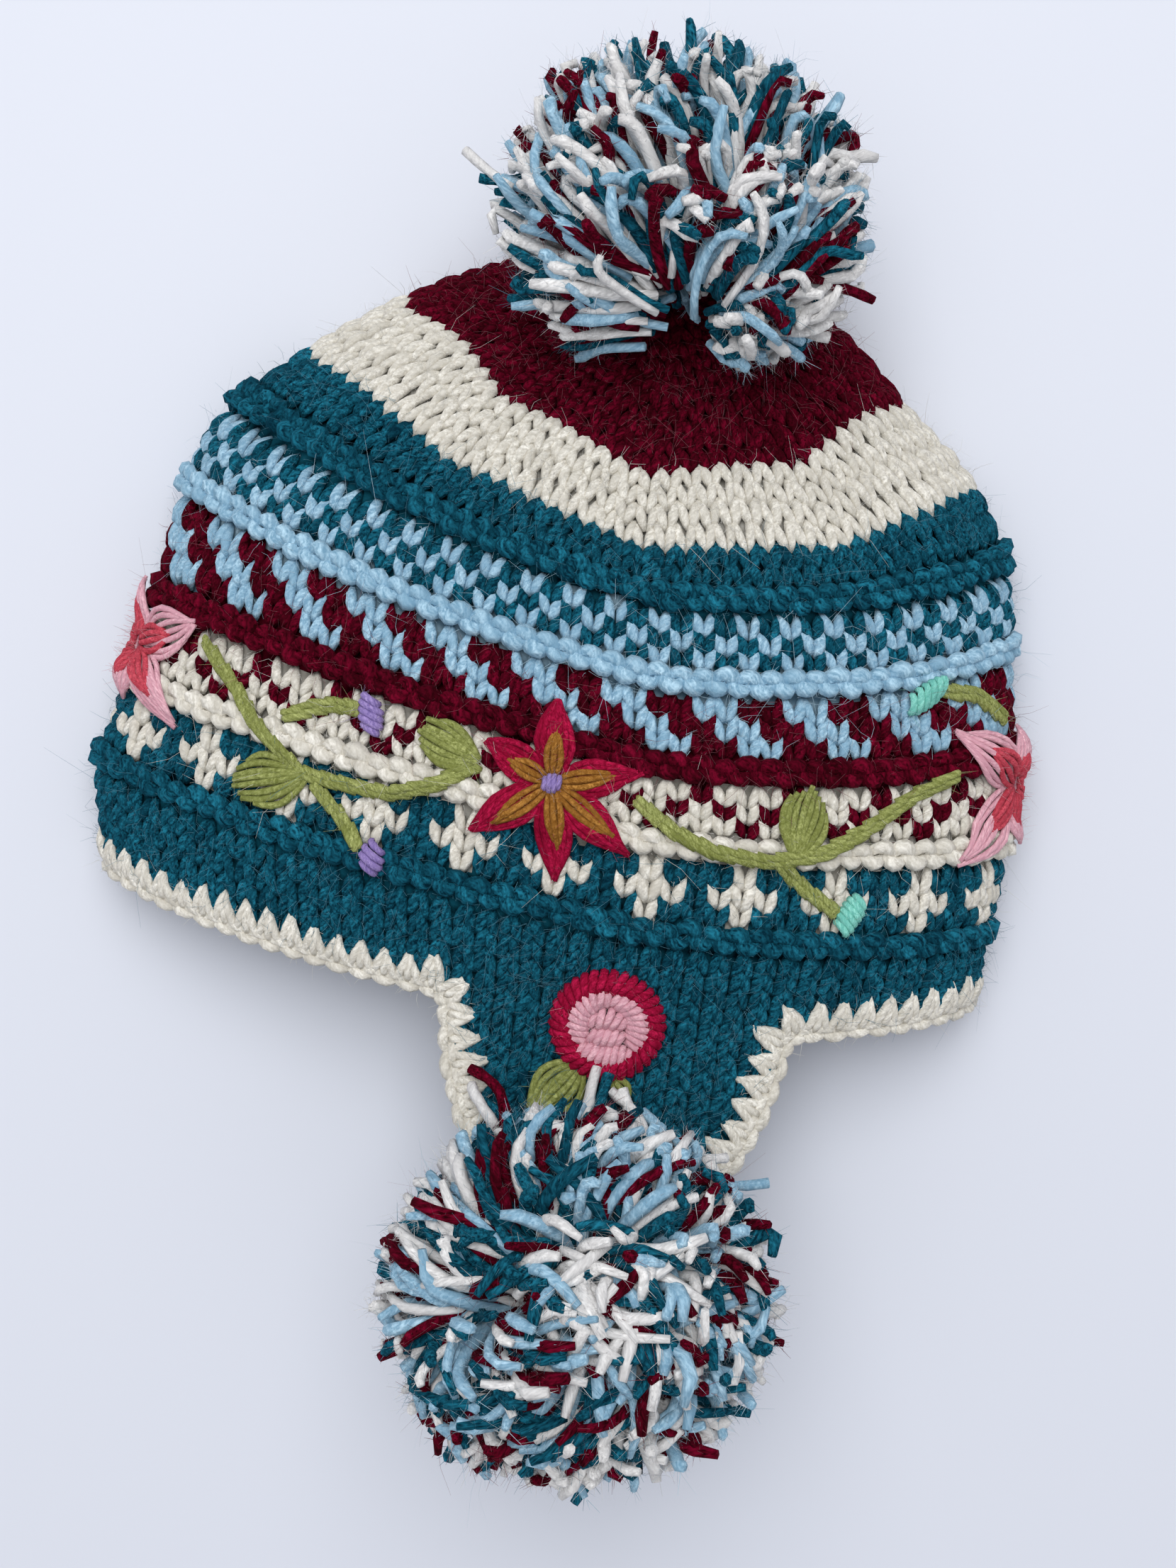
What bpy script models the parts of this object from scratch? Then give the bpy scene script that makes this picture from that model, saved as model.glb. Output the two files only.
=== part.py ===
"""A hand-knitted earflap hat with pom-poms, lying flat on its side.

The hat's length runs along +Y: the crown is at +Y and the ear flaps hang to -Y.
+X points to the right across the hat. The hat lies on the plane z = 0, with +Z up.
The near side is the upper one, and the far side lies on the plane.
"""
import bmesh
import bpy
import math
import random
from mathutils import Vector
from mathutils.bvhtree import BVHTree

# Driving sizes, in metres.
HALF_WIDTH = 0.131          # from the middle to a side fold, with the hat lying flat
HAT_LENGTH = 0.1993         # rim to crown centre along the near side, seen from above
NEAR_HEIGHT = 0.056         # highest part of the near side above the plane
FOLD_HEIGHT = 0.013         # height of the side folds' outermost line
WALL = 0.005                # thickness of the knitting
GAP = 0.00035               # clearance between pieces that touch
RIDGE_HEIGHT = 0.0012       # how far a purl ridge stands out
RIDGE_WIDTH = 0.0080        # width of a purl ridge
FLAP_WIDTH = 0.089          # ear flap, across at the rim
FLAP_LENGTH = 0.064         # ear flap, rim to tip
FLAP_FILLET = 0.008         # radius where a flap's edge runs into the rim
FLAP_LIFT = 0.009           # how far the near flap's tip rises above the rim
EDGE_RADIUS = 0.0025        # crochet edging
POMPOM_TOP_WIDTH = 0.109
POMPOM_FLAP_WIDTH = 0.106
LOCK_LENGTH = 0.011         # longest lock of a pom-pom beyond its core
STEM_RADIUS = 0.0014        # embroidered stems
PLY = 0.0018                # thickness of the embroidered shapes
INLAY = 0.0010              # thickness of the strands sewn inside a petal
PETAL_WIDTH = 0.0098        # widest part of a petal
PETAL_ROOT = 0.0083         # how far from its flower's middle a petal's sides begin
INLAY_WIDTH = 0.0037        # strands sewn inside a petal, across
INLAY_ROOT = 0.0035
KNOT_RADIUS = 0.0028        # knot in the middle of the star flower
KNOT_HEIGHT = 0.0016
BUD_LENGTH = 0.0090         # bullion knots at the branches' ends
BUD_LENGTH_SMALL = 0.0072
STAR_RADIUS = 0.0278        # big flower, middle to petal tip
SIDE_RADIUS = 0.0270        # flowers at the folds, middle to petal tip
ROSE_RADIUS = 0.0152        # coiled rose on the near flap
COIL_HEIGHT = 0.0055        # pale coils inside the rose
LEAF_WIDTH = 0.0122
ROSE_LEAF_WIDTH = 0.0090

# Sections of the knitted body from the rim to the crown.
# along: share of the way from the rim to the crown's centre on the near side.
# left, right and near x: shares of HALF_WIDTH. All y: shares of HAT_LENGTH.
# side_z and reach: shares of FOLD_HEIGHT. near_z and far_z: shares of NEAR_HEIGHT.
# reach is how far the far side's rounding comes in from the fold.
# bow shapes how each loop curves towards the rim at the near middle.
COLUMNS = ("along", "left_x", "left_y", "right_x", "right_y", "side_z",
           "near_x", "near_y", "near_z", "far_y", "far_z", "reach", "bow")
SECTIONS = (
    (0.000, -1.015, -0.336, 0.981, -0.361, 1.00, 0.183, -0.450, 0.857, -0.326, 0.000, 1.10, 1.6),
    (0.095, -1.053, -0.216, 0.985, -0.291, 1.00, 0.179, -0.355, 0.929, -0.231, 0.000, 1.10, 1.6),
    (0.204, -1.023, -0.110, 1.000, -0.181, 1.00, 0.179, -0.244, 0.964, -0.120, 0.000, 1.10, 1.6),
    (0.316, -0.985, 0.010, 0.992, -0.035, 1.00, 0.163, -0.130, 1.000, -0.005, 0.000, 1.10, 1.6),
    (0.438, -0.954, 0.196, 0.954, 0.125, 1.00, 0.144, -0.007, 1.000, 0.125, 0.000, 1.10, 1.6),
    (0.555, -0.885, 0.331, 0.920, 0.256, 1.00, 0.124, 0.112, 0.982, 0.241, 0.000, 1.10, 1.6),
    (0.638, -0.725, 0.437, 0.824, 0.376, 1.00, 0.114, 0.195, 0.929, 0.341, 0.000, 1.10, 1.6),
    (0.747, -0.534, 0.532, 0.634, 0.487, 1.00, 0.098, 0.302, 0.821, 0.442, 0.000, 1.15, 1.6),
    (0.807, -0.397, 0.580, 0.504, 0.562, 1.15, 0.092, 0.361, 0.750, 0.522, 0.000, 1.50, 1.5),
    (0.864, -0.290, 0.607, 0.382, 0.607, 1.38, 0.086, 0.416, 0.696, 0.592, 0.036, 2.30, 1.4),
    (0.915, -0.168, 0.617, 0.290, 0.615, 1.85, 0.082, 0.467, 0.652, 0.635, 0.161, 3.00, 1.2),
    (0.953, -0.061, 0.600, 0.206, 0.597, 2.15, 0.079, 0.504, 0.616, 0.637, 0.339, 3.50, 1.1),
    (0.982, 0.015, 0.575, 0.137, 0.574, 2.35, 0.077, 0.532, 0.589, 0.602, 0.473, 3.50, 1.0),
    (1.000, 0.075, 0.550, 0.077, 0.550, 2.42, 0.076, 0.549, 0.564, 0.551, 0.561, 3.50, 1.0),
)

# Where each purl ridge begins, as a share of the way from the rim to the crown.
RIDGES = (("rim", 0.095), ("cream", 0.204), ("burgundy", 0.316), ("blue", 0.438),
          ("crown", 0.555))

# An ear flap's outline: depth from the rim to the tip, and half width, as shares.
FLAP_OUTLINE = ((0.00, 1.00), (0.15, 0.985), (0.30, 0.94), (0.45, 0.86), (0.60, 0.74),
                (0.74, 0.58), (0.86, 0.40), (0.94, 0.25), (1.00, 0.10))
FLAP_MIDDLE = 0.179         # share of HALF_WIDTH, where both flaps hang

COLOURS = {
    "teal": (0.011, 0.115, 0.150), "burgundy": (0.150, 0.010, 0.030),
    "cream": (0.800, 0.770, 0.700), "blue": (0.300, 0.530, 0.690),
    "olive": (0.230, 0.270, 0.050), "crimson": (0.480, 0.010, 0.045),
    "ochre": (0.450, 0.190, 0.040), "pink": (0.800, 0.350, 0.400),
    "coral": (0.700, 0.080, 0.100), "lilac": (0.300, 0.230, 0.530),
    "mint": (0.220, 0.650, 0.600), "mixed": (0.330, 0.420, 0.470),
}

for leftover in list(bpy.data.objects):
    bpy.data.objects.remove(leftover, do_unlink=True)
hat = bpy.data.collections.new("earflap_hat")
bpy.context.scene.collection.children.link(hat)
materials = {}


def wool(colour):
    """One wool material for each colour, made when it is first used."""
    if colour not in materials:
        material = bpy.data.materials.new("wool_" + colour)
        material.use_nodes = True
        shader = material.node_tree.nodes["Principled BSDF"]
        shader.inputs["Base Color"].default_value = (*COLOURS[colour], 1.0)
        shader.inputs["Roughness"].default_value = 0.9
        materials[colour] = material
    return materials[colour]


def add_mesh(name, mesh, colour):
    """Put a bmesh in the hat's collection as one named, smooth-shaded object."""
    data = bpy.data.meshes.new(name)
    mesh.to_mesh(data)
    mesh.free()
    data.materials.append(wool(colour))
    data.shade_smooth()
    data.set_sharp_from_angle(angle=math.radians(50))
    piece = bpy.data.objects.new(name, data)
    hat.objects.link(piece)
    return piece


def solidify(piece, thickness, inward):
    """Give an open sheet its thickness, on its inner or its outer side."""
    wall = piece.modifiers.new("thickness", "SOLIDIFY")
    wall.thickness = thickness
    wall.offset = -1.0 if inward else 1.0
    wall.use_even_offset = True
    return piece


# The plain shell of the body.

def hermite(rows, where):
    """Smooth values between the rows of a table whose first column is the place."""
    last = len(rows) - 2
    k = min(max(sum(1 for row in rows if row[0] <= where) - 1, 0), last)
    low, high = rows[k], rows[k + 1]
    before, after = rows[max(k - 1, 0)], rows[min(k + 2, last + 1)]
    span = high[0] - low[0]
    t = (where - low[0]) / span
    if t < 0.0:
        return [a + (b - a) * t for a, b in zip(low, high)]
    values = []
    for a, b, p, n in zip(low, high, before, after):
        slope_a = (b - p) / (high[0] - before[0]) * span
        slope_b = (n - a) / (after[0] - low[0]) * span
        values.append(a * (2 * t ** 3 - 3 * t ** 2 + 1) + slope_a * (t ** 3 - 2 * t ** 2 + t)
                      + b * (3 * t ** 2 - 2 * t ** 3) + slope_b * (t ** 3 - t ** 2))
    return values


def section(along):
    """The body's section at one place along it, in metres."""
    s = dict(zip(COLUMNS, hermite(SECTIONS, along)))
    for key in ("left_x", "right_x", "near_x"):
        s[key] *= HALF_WIDTH
    for key in ("left_y", "right_y", "near_y", "far_y"):
        s[key] *= HAT_LENGTH
    for key in ("near_z", "far_z"):
        s[key] = max(s[key], 0.0) * NEAR_HEIGHT
    for key in ("side_z", "reach"):
        s[key] *= FOLD_HEIGHT
    return s


def near_point(s, x):
    """Point of the near side at one x of a section."""
    side = "right" if x >= s["near_x"] else "left"
    sine = min((x - s["near_x"]) / (s[side + "_x"] - s["near_x"]), 1.0)
    cosine = math.sqrt(1.0 - sine * sine)
    y = s[side + "_y"] + (s["near_y"] - s[side + "_y"]) * cosine ** s["bow"]
    return Vector((x, y, s["side_z"] + (s["near_z"] - s["side_z"]) * cosine))


def far_point(s, x):
    """Point of the flat part of the far side at one x of a section."""
    side = "right" if x >= s["near_x"] else "left"
    share = (x - s["near_x"]) / (s[side + "_x"] - s["near_x"])
    return Vector((x, s["far_y"] + (s[side + "_y"] - s["far_y"]) * share ** 2, s["far_z"]))


def fold_point(s, side, angle):
    """Point on the far side's rounding, from the fold (0) to the flat part (a right angle)."""
    width = s[side + "_x"] - s["near_x"]
    reach = min(s["reach"], abs(width)) * (1 if width > 0 else -1)
    point = far_point(s, s[side + "_x"] - reach * (1.0 - math.cos(angle)))
    point.z = s["side_z"] - (s["side_z"] - s["far_z"]) * math.sin(angle)
    return point


def quarter(s, side, near_steps, fold_steps, flat_steps):
    """One side of a section, from the near middle over the fold to the far middle."""
    width = s[side + "_x"] - s["near_x"]
    points = [near_point(s, s["near_x"] + width * math.sin(math.pi / 2 * k / near_steps))
              for k in range(near_steps)]
    points += [fold_point(s, side, math.pi / 2 * k / fold_steps) for k in range(fold_steps)]
    reach = min(s["reach"], abs(width)) * (1 if width > 0 else -1)
    points += [far_point(s, s[side + "_x"] - reach - (width - reach) * k / flat_steps)
               for k in range(flat_steps + 1)]
    return points


def loop(along, near_steps=8, fold_steps=4, flat_steps=4):
    """A closed loop round the body, from the near middle round the right fold."""
    s = section(along)
    right = quarter(s, "right", near_steps, fold_steps, flat_steps)
    left = quarter(s, "left", near_steps, fold_steps, flat_steps)
    return right + left[-2:0:-1]


fine_loops = {}


def fine_loop(along):
    """A dense loop with its length so far at each point, kept for the next use."""
    key = round(along, 5)
    if key not in fine_loops:
        points = loop(key, 40, 16, 12)
        lengths = [0.0]
        for a, b in zip(points, points[1:] + points[:1]):
            lengths.append(lengths[-1] + (b - a).length)
        fine_loops[key] = (points, lengths)
    return fine_loops[key]


def on_loop(girth, along):
    """Point at a distance round the body from its near middle, to the right."""
    points, lengths = fine_loop(along)
    distance = girth % lengths[-1]
    low, high = 0, len(points)
    while high - low > 1:
        middle = (low + high) // 2
        if lengths[middle] <= distance:
            low = middle
        else:
            high = middle
    t = (distance - lengths[low]) / max(lengths[low + 1] - lengths[low], 1e-9)
    return points[low].lerp(points[(low + 1) % len(points)], t)


def ridge(along):
    """Height of the purl ridges above the plain shell."""
    width = RIDGE_WIDTH / HAT_LENGTH
    height = 0.0
    for _, start in RIDGES:
        t = (along - start) / width
        if 0.0 < t < 1.0:
            height = RIDGE_HEIGHT * math.sin(math.pi * t)
    return height


def shell(girth, along):
    """Point and outward normal of the plain shell."""
    here = on_loop(girth, along)
    across = on_loop(girth + 0.001, along) - on_loop(girth - 0.001, along)
    upward = on_loop(girth, min(along + 0.004, 0.999)) - on_loop(girth, along - 0.004)
    return here, across.cross(upward).normalized()


def body():
    """The knitted pouch, open at the rim: a loft of its sections, one wall thick."""
    width = RIDGE_WIDTH / HAT_LENGTH
    places = {0.0, 0.05, 0.17, 0.60, 0.638, 0.69, 0.747, 0.79, 0.83, 0.864, 0.895, 0.925,
              0.953, 0.982}
    for (_, start), (_, end) in zip(RIDGES, RIDGES[1:] + (("", 0.60),)):
        places |= {start, start + width / 2, start + width}
        if end - start > 2 * width:
            places.add((start + width + end) / 2)
    mesh = bmesh.new()
    rings = []
    for along in sorted(places):
        points = loop(along)
        ahead, behind = loop(min(along + 0.004, 0.999)), loop(along - 0.004)
        ring = []
        for k, point in enumerate(points):
            across = points[(k + 1) % len(points)] - points[k - 1]
            normal = across.cross(ahead[k] - behind[k]).normalized()
            raised = point + normal * ridge(along)
            ring.append(mesh.verts.new((raised.x, raised.y, max(raised.z, 0.0))))
        rings.append(ring)
    for lower, upper in zip(rings, rings[1:]):
        for k in range(len(lower)):
            j = (k + 1) % len(lower)
            mesh.faces.new((lower[k], lower[j], upper[j], upper[k]))
    top = section(1.0)
    centre = mesh.verts.new((top["near_x"], top["near_y"], top["near_z"]))
    for k in range(len(rings[-1])):
        mesh.faces.new((rings[-1][k], rings[-1][(k + 1) % len(rings[-1])], centre))
    return solidify(add_mesh("knit_body", mesh, "teal"), WALL, inward=True)


# Ear flaps. Each hangs from the rim below the hat's middle.

def flap_half_width(depth):
    """Half the flap's width at a depth below the rim, with the fillets at the rim."""
    half = hermite(FLAP_OUTLINE, min(depth / FLAP_LENGTH, 1.0))[1] * FLAP_WIDTH / 2
    if depth < FLAP_FILLET:
        half += FLAP_FILLET - math.sqrt(FLAP_FILLET ** 2 - (FLAP_FILLET - depth) ** 2)
    return half


def flap_point(near, depth, share):
    """Point of a flap's outer side: depth below the rim, share -1 to 1 across it."""
    rim, inside = section(0.0), section(0.02)
    on_side = near_point if near else far_point
    x = FLAP_MIDDLE * HALF_WIDTH + share * flap_half_width(depth)
    root = on_side(rim, FLAP_MIDDLE * HALF_WIDTH + share * FLAP_WIDTH / 2)
    root_in = on_side(inside, root.x)
    straight = on_side(rim, x)
    t = depth / FLAP_LENGTH
    middle = on_side(rim, FLAP_MIDDLE * HALF_WIDTH)
    tip_y = middle.y - FLAP_LENGTH
    y = straight.y - depth + (tip_y - straight.y + FLAP_LENGTH) * t
    if not near:
        return Vector((x, y, 0.0))
    slope = (root.z - root_in.z) / (root_in.y - root.y) * FLAP_LENGTH
    tip_z = middle.z + FLAP_LIFT
    z = (straight.z * (2 * t ** 3 - 3 * t ** 2 + 1) + slope * (t ** 3 - 2 * t ** 2 + t)
         + tip_z * (3 * t ** 2 - 2 * t ** 3))
    return Vector((x, y, z))


def flap_depths():
    """Depths of a flap's rows: close together in the fillets, then evenly spread."""
    fillet = [GAP + FLAP_FILLET * (1 - math.cos(math.pi / 2 * k / 4)) for k in range(4)]
    rest = [FLAP_FILLET + (FLAP_LENGTH - FLAP_FILLET) * math.sin(math.pi / 2 * k / 7)
            for k in range(8)]
    return fillet + rest


def flap(name, near):
    """A knitted ear flap as a curved sheet, one wall thick."""
    across = 8
    mesh = bmesh.new()
    rows = [[mesh.verts.new(flap_point(near, depth, 2 * k / across - 1))
             for k in range(across + 1)] for depth in flap_depths()]
    for upper, lower in zip(rows, rows[1:]):
        for k in range(across):
            face = (lower[k], lower[k + 1], upper[k + 1], upper[k])
            mesh.faces.new(face if near else face[::-1])
    return solidify(add_mesh(name, mesh, "teal"), WALL, inward=True)


# The crochet edging runs once round the rim and both flaps.

def edge_route():
    """Middle line of the edging and the outward side of the fabric at each point."""
    half = FLAP_WIDTH / 2 + FLAP_FILLET
    middle = FLAP_MIDDLE * HALF_WIDTH
    rim = section(0.0)
    points, lengths = fine_loop(0.0)
    route = []

    def flap_edge(near, shares):
        depths = flap_depths()
        edge = [(depth, shares[0]) for depth in depths]
        edge += [(FLAP_LENGTH, share / 4 * shares[1]) for share in (-2, 0, 2)]
        edge += [(depth, shares[1]) for depth in reversed(depths)]
        found = []
        for depth, share in edge:
            point = flap_point(near, depth, share)
            side = flap_point(near, depth, share + 0.05) - point
            down = flap_point(near, min(depth + 0.001, FLAP_LENGTH), share) \
                - flap_point(near, min(depth + 0.001, FLAP_LENGTH) - 0.001, share)
            normal = side.cross(-down).normalized() * (1 if near else -1)
            found.append((point, normal))
        return found

    def rim_part(start, end, count):
        found = []
        for k in range(count):
            point, normal = shell(start + (end - start) * k / (count - 1), 0.0)
            found.append((point, normal))
        return found

    def girth_at(target):
        found = []
        for a, b, start in zip(points, points[1:] + points[:1], lengths):
            t = min(max((target - a).dot(b - a) / (b - a).length_squared, 0.0), 1.0)
            found.append(((a.lerp(b, t) - target).length, start + t * (b - a).length))
        return min(found)[1]

    total = lengths[-1]
    near_right = girth_at(near_point(rim, middle + half))
    far_right = girth_at(far_point(rim, middle + half))
    far_left = girth_at(far_point(rim, middle - half))
    near_left = girth_at(near_point(rim, middle - half))
    route += rim_part(near_right, far_right, 14)
    route += flap_edge(False, (1.0, -1.0))
    route += rim_part(far_left, near_left if near_left > far_left else total, 16)
    route += flap_edge(True, (-1.0, 1.0))
    return route


def edging():
    """A round cord beside the open edge, at half the wall's depth."""
    route = edge_route()
    count = len(route)
    line = []
    for k, (point, normal) in enumerate(route):
        along = route[(k + 1) % count][0] - route[k - 1][0]
        outward = along.cross(normal).normalized()
        depth = min(WALL / 2, EDGE_RADIUS)
        line.append(point - normal * depth + outward * (EDGE_RADIUS + 2 * GAP))
    spaced = [line[0]]
    for point in line[1:]:
        if (point - spaced[-1]).length > 0.6 * EDGE_RADIUS:
            spaced.append(point)
    curve = bpy.data.curves.new("crochet_edging", "CURVE")
    curve.dimensions = "3D"
    curve.bevel_depth = EDGE_RADIUS
    curve.bevel_resolution = 2
    curve.use_fill_caps = True
    spline = curve.splines.new("POLY")
    spline.points.add(len(spaced) - 1)
    for knot, point in zip(spline.points, spaced):
        knot.co = (point.x, point.y, max(point.z, EDGE_RADIUS), 1.0)
    spline.use_cyclic_u = True
    curve.materials.append(wool("cream"))
    piece = bpy.data.objects.new("crochet_edging", curve)
    hat.objects.link(piece)
    return piece


# Pom-poms: a round core with cut locks all over it.

def tree_of(piece):
    """Search tree of a finished piece, with its modifiers."""
    graph = bpy.context.evaluated_depsgraph_get()
    graph.update()
    return BVHTree.FromObject(piece, graph)


def pompom(name, centre, size, seed, drape=None):
    """A ball of wool locks fused to their core."""
    chance = random.Random(seed)
    mesh = bmesh.new()
    bmesh.ops.create_icosphere(mesh, subdivisions=2, radius=1.0)
    core = Vector([half - LOCK_LENGTH for half in size])
    for vert in mesh.verts:
        vert.co = Vector([a * b for a, b in zip(vert.co, core)])
    mesh.normal_update()
    faces = list(mesh.faces)
    bmesh.ops.inset_individual(mesh, faces=faces, thickness=0.0016, use_even_offset=True)
    locks = bmesh.ops.extrude_discrete_faces(mesh, faces=faces)["faces"]
    for lock in locks:
        middle = lock.calc_center_median()
        outward = Vector([m / (c * c) for m, c in zip(middle, core)]).normalized()
        length = LOCK_LENGTH * chance.uniform(0.75, 1.1)
        lean = Vector((chance.uniform(-1, 1), chance.uniform(-1, 1), chance.uniform(-1, 1)))
        shift = outward * length + lean * LOCK_LENGTH * 0.12
        for vert in lock.verts:
            vert.co = middle + (vert.co - middle) * 0.82 + shift
    for vert in mesh.verts:
        vert.co += Vector(centre)
        if drape:
            drape(vert.co)
    return add_mesh(name, mesh, "mixed")


def spread(mesh):
    """Points spread over a mesh: its corners, its face centres and four on each edge."""
    points = [vert.co.copy() for vert in mesh.vertices]
    points += [face.center.copy() for face in mesh.polygons]
    for edge in mesh.edges:
        start, end = (mesh.vertices[k].co for k in edge.vertices)
        points += [start.lerp(end, share) for share in (0.2, 0.4, 0.6, 0.8)]
    return points


def seat(piece, others, floor=None):
    """Lower a piece until it lies the usual gap above the pieces under it."""
    bpy.context.view_layer.update()
    own = tree_of(piece)
    down, up = Vector((0, 0, -1)), Vector((0, 0, 1))
    room = [vert.co.z - floor for vert in piece.data.vertices] if floor is not None else []
    for other in others:
        tree = tree_of(other)
        finished = other.evaluated_get(bpy.context.evaluated_depsgraph_get())
        casts = [tree.ray_cast(point, down) for point in spread(piece.data)]
        casts += [own.ray_cast(point, up) for point in spread(finished.to_mesh())]
        finished.to_mesh_clear()
        room += [cast[3] for cast in casts if cast[0] is not None]
    drop = min(room) - GAP
    for vert in piece.data.vertices:
        vert.co.z -= drop
    return piece


# Embroidery lies on the knitting. A place on the body is its distance round the body from
# the near middle and its distance from the rim; on the flap, beside and below its root.

ALONG = sum((on_loop(0.0, (k + 1) * 0.01) - on_loop(0.0, k * 0.01)).length
            for k in range(99)) / 0.99


def on_body(across, from_rim):
    """Point, outward normal and ridge height at a place on the body."""
    along = from_rim / ALONG
    point, normal = shell(across, along)
    return point, normal, ridge(along)


def on_flap(across, height):
    """Point, outward normal and ridge height on the near flap, or above it on the body."""
    depth = -height
    if depth < 0.0:
        x, along = FLAP_MIDDLE * HALF_WIDTH + across, height / ALONG
        point = near_point(section(along), x)
        side = near_point(section(along), x + 0.001) - point
        down = point - near_point(section(along + 0.005), x)
        return point, down.cross(side).normalized(), ridge(along)
    share = across / flap_half_width(depth)
    point = flap_point(True, depth, share)
    side = flap_point(True, depth, share + 0.02) - point
    down = flap_point(True, depth + 0.001, share) - point
    return point, down.cross(side).normalized(), 0.0


def plate(name, colour, surface, middle, outline, thickness=PLY, rings=2, under=0.0,
          footing=None):
    """A sewn shape: a closed outline round its middle, laid over the knitting.

    It lies clear of the ridges under its footing, which is its own outline or a wider one.
    """
    steps = [k / 8 for k in range(1, 9)]
    lift = GAP + under + max(surface(middle[0] + x * s, middle[1] + y * s)[2]
                             for x, y in footing or outline for s in steps)
    mesh = bmesh.new()

    def lay(x, y):
        point, normal, _ = surface(middle[0] + x, middle[1] + y)
        return mesh.verts.new(point + normal * lift)

    centre = lay(0.0, 0.0)
    laid = [[lay(x * k / rings, y * k / rings) for x, y in outline]
            for k in range(1, rings + 1)]
    count = len(outline)
    for k in range(count):
        mesh.faces.new((centre, laid[0][k], laid[0][(k + 1) % count]))
        for inner, outer in zip(laid, laid[1:]):
            j = (k + 1) % count
            mesh.faces.new((inner[k], outer[k], outer[j], inner[j]))
    return solidify(add_mesh(name, mesh, colour), thickness, inward=False)


def star(petals, radius, width, root):
    """Outline of pointed petals, each given by its turn in degrees and its length share."""
    outline = []
    for k, (turn, length) in enumerate(petals):
        angle = math.radians(turn)
        reach = radius * length
        half = width / 2 * min(1.0, 1.3 * length)
        for along, aside in ((0.62, -half), (1.0, 0.0), (0.62, half)):
            x, y = reach * along, aside
            outline.append((x * math.cos(angle) - y * math.sin(angle),
                            x * math.sin(angle) + y * math.cos(angle)))
        following = petals[(k + 1) % len(petals)][0]
        valley = math.radians(turn + ((following - turn) % 360) / 2)
        outline.append((root * math.cos(valley), root * math.sin(valley)))
    return outline


def leaf(base, tip, width):
    """Middle and outline of a pointed leaf between two places."""
    (ax, ay), (bx, by) = base, tip
    middle = ((ax + bx) / 2, (ay + by) / 2)
    dx, dy = (bx - ax) / 2, (by - ay) / 2
    half = math.hypot(dx, dy)
    outline = []
    for k in range(10):
        angle = 2 * math.pi * k / 10
        run, rise = math.cos(angle), math.sin(angle) * width / 2 / half
        outline.append((dx * run - dy * rise, dy * run + dx * rise))
    return middle, outline


def sewn(across, up):
    """A place on the body, from its shares of HALF_WIDTH and HAT_LENGTH."""
    return across * HALF_WIDTH, up * HAT_LENGTH


def stem(name, shares):
    """An embroidered stem: a cord sewn along a few places on the body."""
    places = [sewn(*share) for share in shares]
    knots = []
    for k in range(len(places) - 1):
        rows = [(i, *place) for i, place in enumerate(places)]
        knots += [hermite(rows, k + t / 3)[1:] for t in range(3)]
    knots.append(places[-1])
    curve = bpy.data.curves.new(name, "CURVE")
    curve.dimensions = "3D"
    curve.bevel_depth = STEM_RADIUS
    curve.bevel_resolution = 1
    curve.use_fill_caps = True
    spline = curve.splines.new("POLY")
    spline.points.add(len(knots) - 1)
    for knot, (across, from_rim) in zip(spline.points, knots):
        point, normal, _ = on_body(across, from_rim)
        height = max(on_body(across, from_rim + s * RIDGE_WIDTH / 3)[2] for s in (-1, 0, 1))
        knot.co = (*(point + normal * (height + STEM_RADIUS + GAP)), 1.0)
    curve.materials.append(wool("olive"))
    piece = bpy.data.objects.new(name, curve)
    hat.objects.link(piece)


def bud(name, colour, place, size):
    """A bullion knot: a small oval lump, its long side across the hat's length."""
    point, normal, height = on_body(*place)
    mesh = bmesh.new()
    bmesh.ops.create_icosphere(mesh, subdivisions=1, radius=1.0)
    long_side = (on_body(place[0], place[1] + 0.001)[0] - point).normalized()
    short_side = long_side.cross(normal)
    for vert in mesh.verts:
        x, y, z = vert.co
        vert.co = (point + short_side * x * size * 0.7 + long_side * y * size
                   + normal * (z * size * 0.5 + size * 0.5 + height + GAP))
    return add_mesh(name, mesh, colour)


knit_body = body()
near_flap = flap("ear_flap_near", near=True)
far_flap = flap("ear_flap_far", near=False)
edge_piece = edging()

# Pom-poms. The far one lies on the far flap's tip, the near one on it and the near flap.
flap_x = FLAP_MIDDLE * HALF_WIDTH
near_tip = flap_point(True, FLAP_LENGTH, 0.0)
far_tip = flap_point(False, FLAP_LENGTH, 0.0)
radius = POMPOM_FLAP_WIDTH / 2
start_z = NEAR_HEIGHT + 2 * radius
room = near_tip.z - 2 * WALL - 3 * GAP
far_pompom = pompom("pompom_flap_far", (flap_x, far_tip.y - 0.34 * radius, WALL + room / 2),
                    (0.87 * radius, 0.81 * radius, 0.42 * room), 11)
seat(far_pompom, [far_flap, edge_piece], floor=0.0)
near_pompom = pompom("pompom_flap_near",
                     (flap_x - 0.028 * radius, near_tip.y - 0.126 * radius, start_z),
                     (radius, 0.97 * radius, 0.60 * radius), 12)
seat(near_pompom, [near_flap, far_pompom, edge_piece])
crown = section(1.0)
radius = POMPOM_TOP_WIDTH / 2
fold_y = crown["near_y"] + 0.366 * radius


def droop(place):
    """Let the part of the top pom-pom beyond the top fold sag towards the plane."""
    beyond = min(max((place.y - fold_y) / (0.64 * radius), 0.0), 1.0)
    below = max(start_z - place.z, 0.0)
    place.z -= below * beyond * 0.45


top_pompom = pompom("pompom_top",
                    (crown["near_x"], crown["near_y"] + 0.365 * radius, start_z),
                    (radius, 0.85 * radius, 0.64 * radius), 13, droop)
seat(top_pompom, [knit_body])

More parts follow.
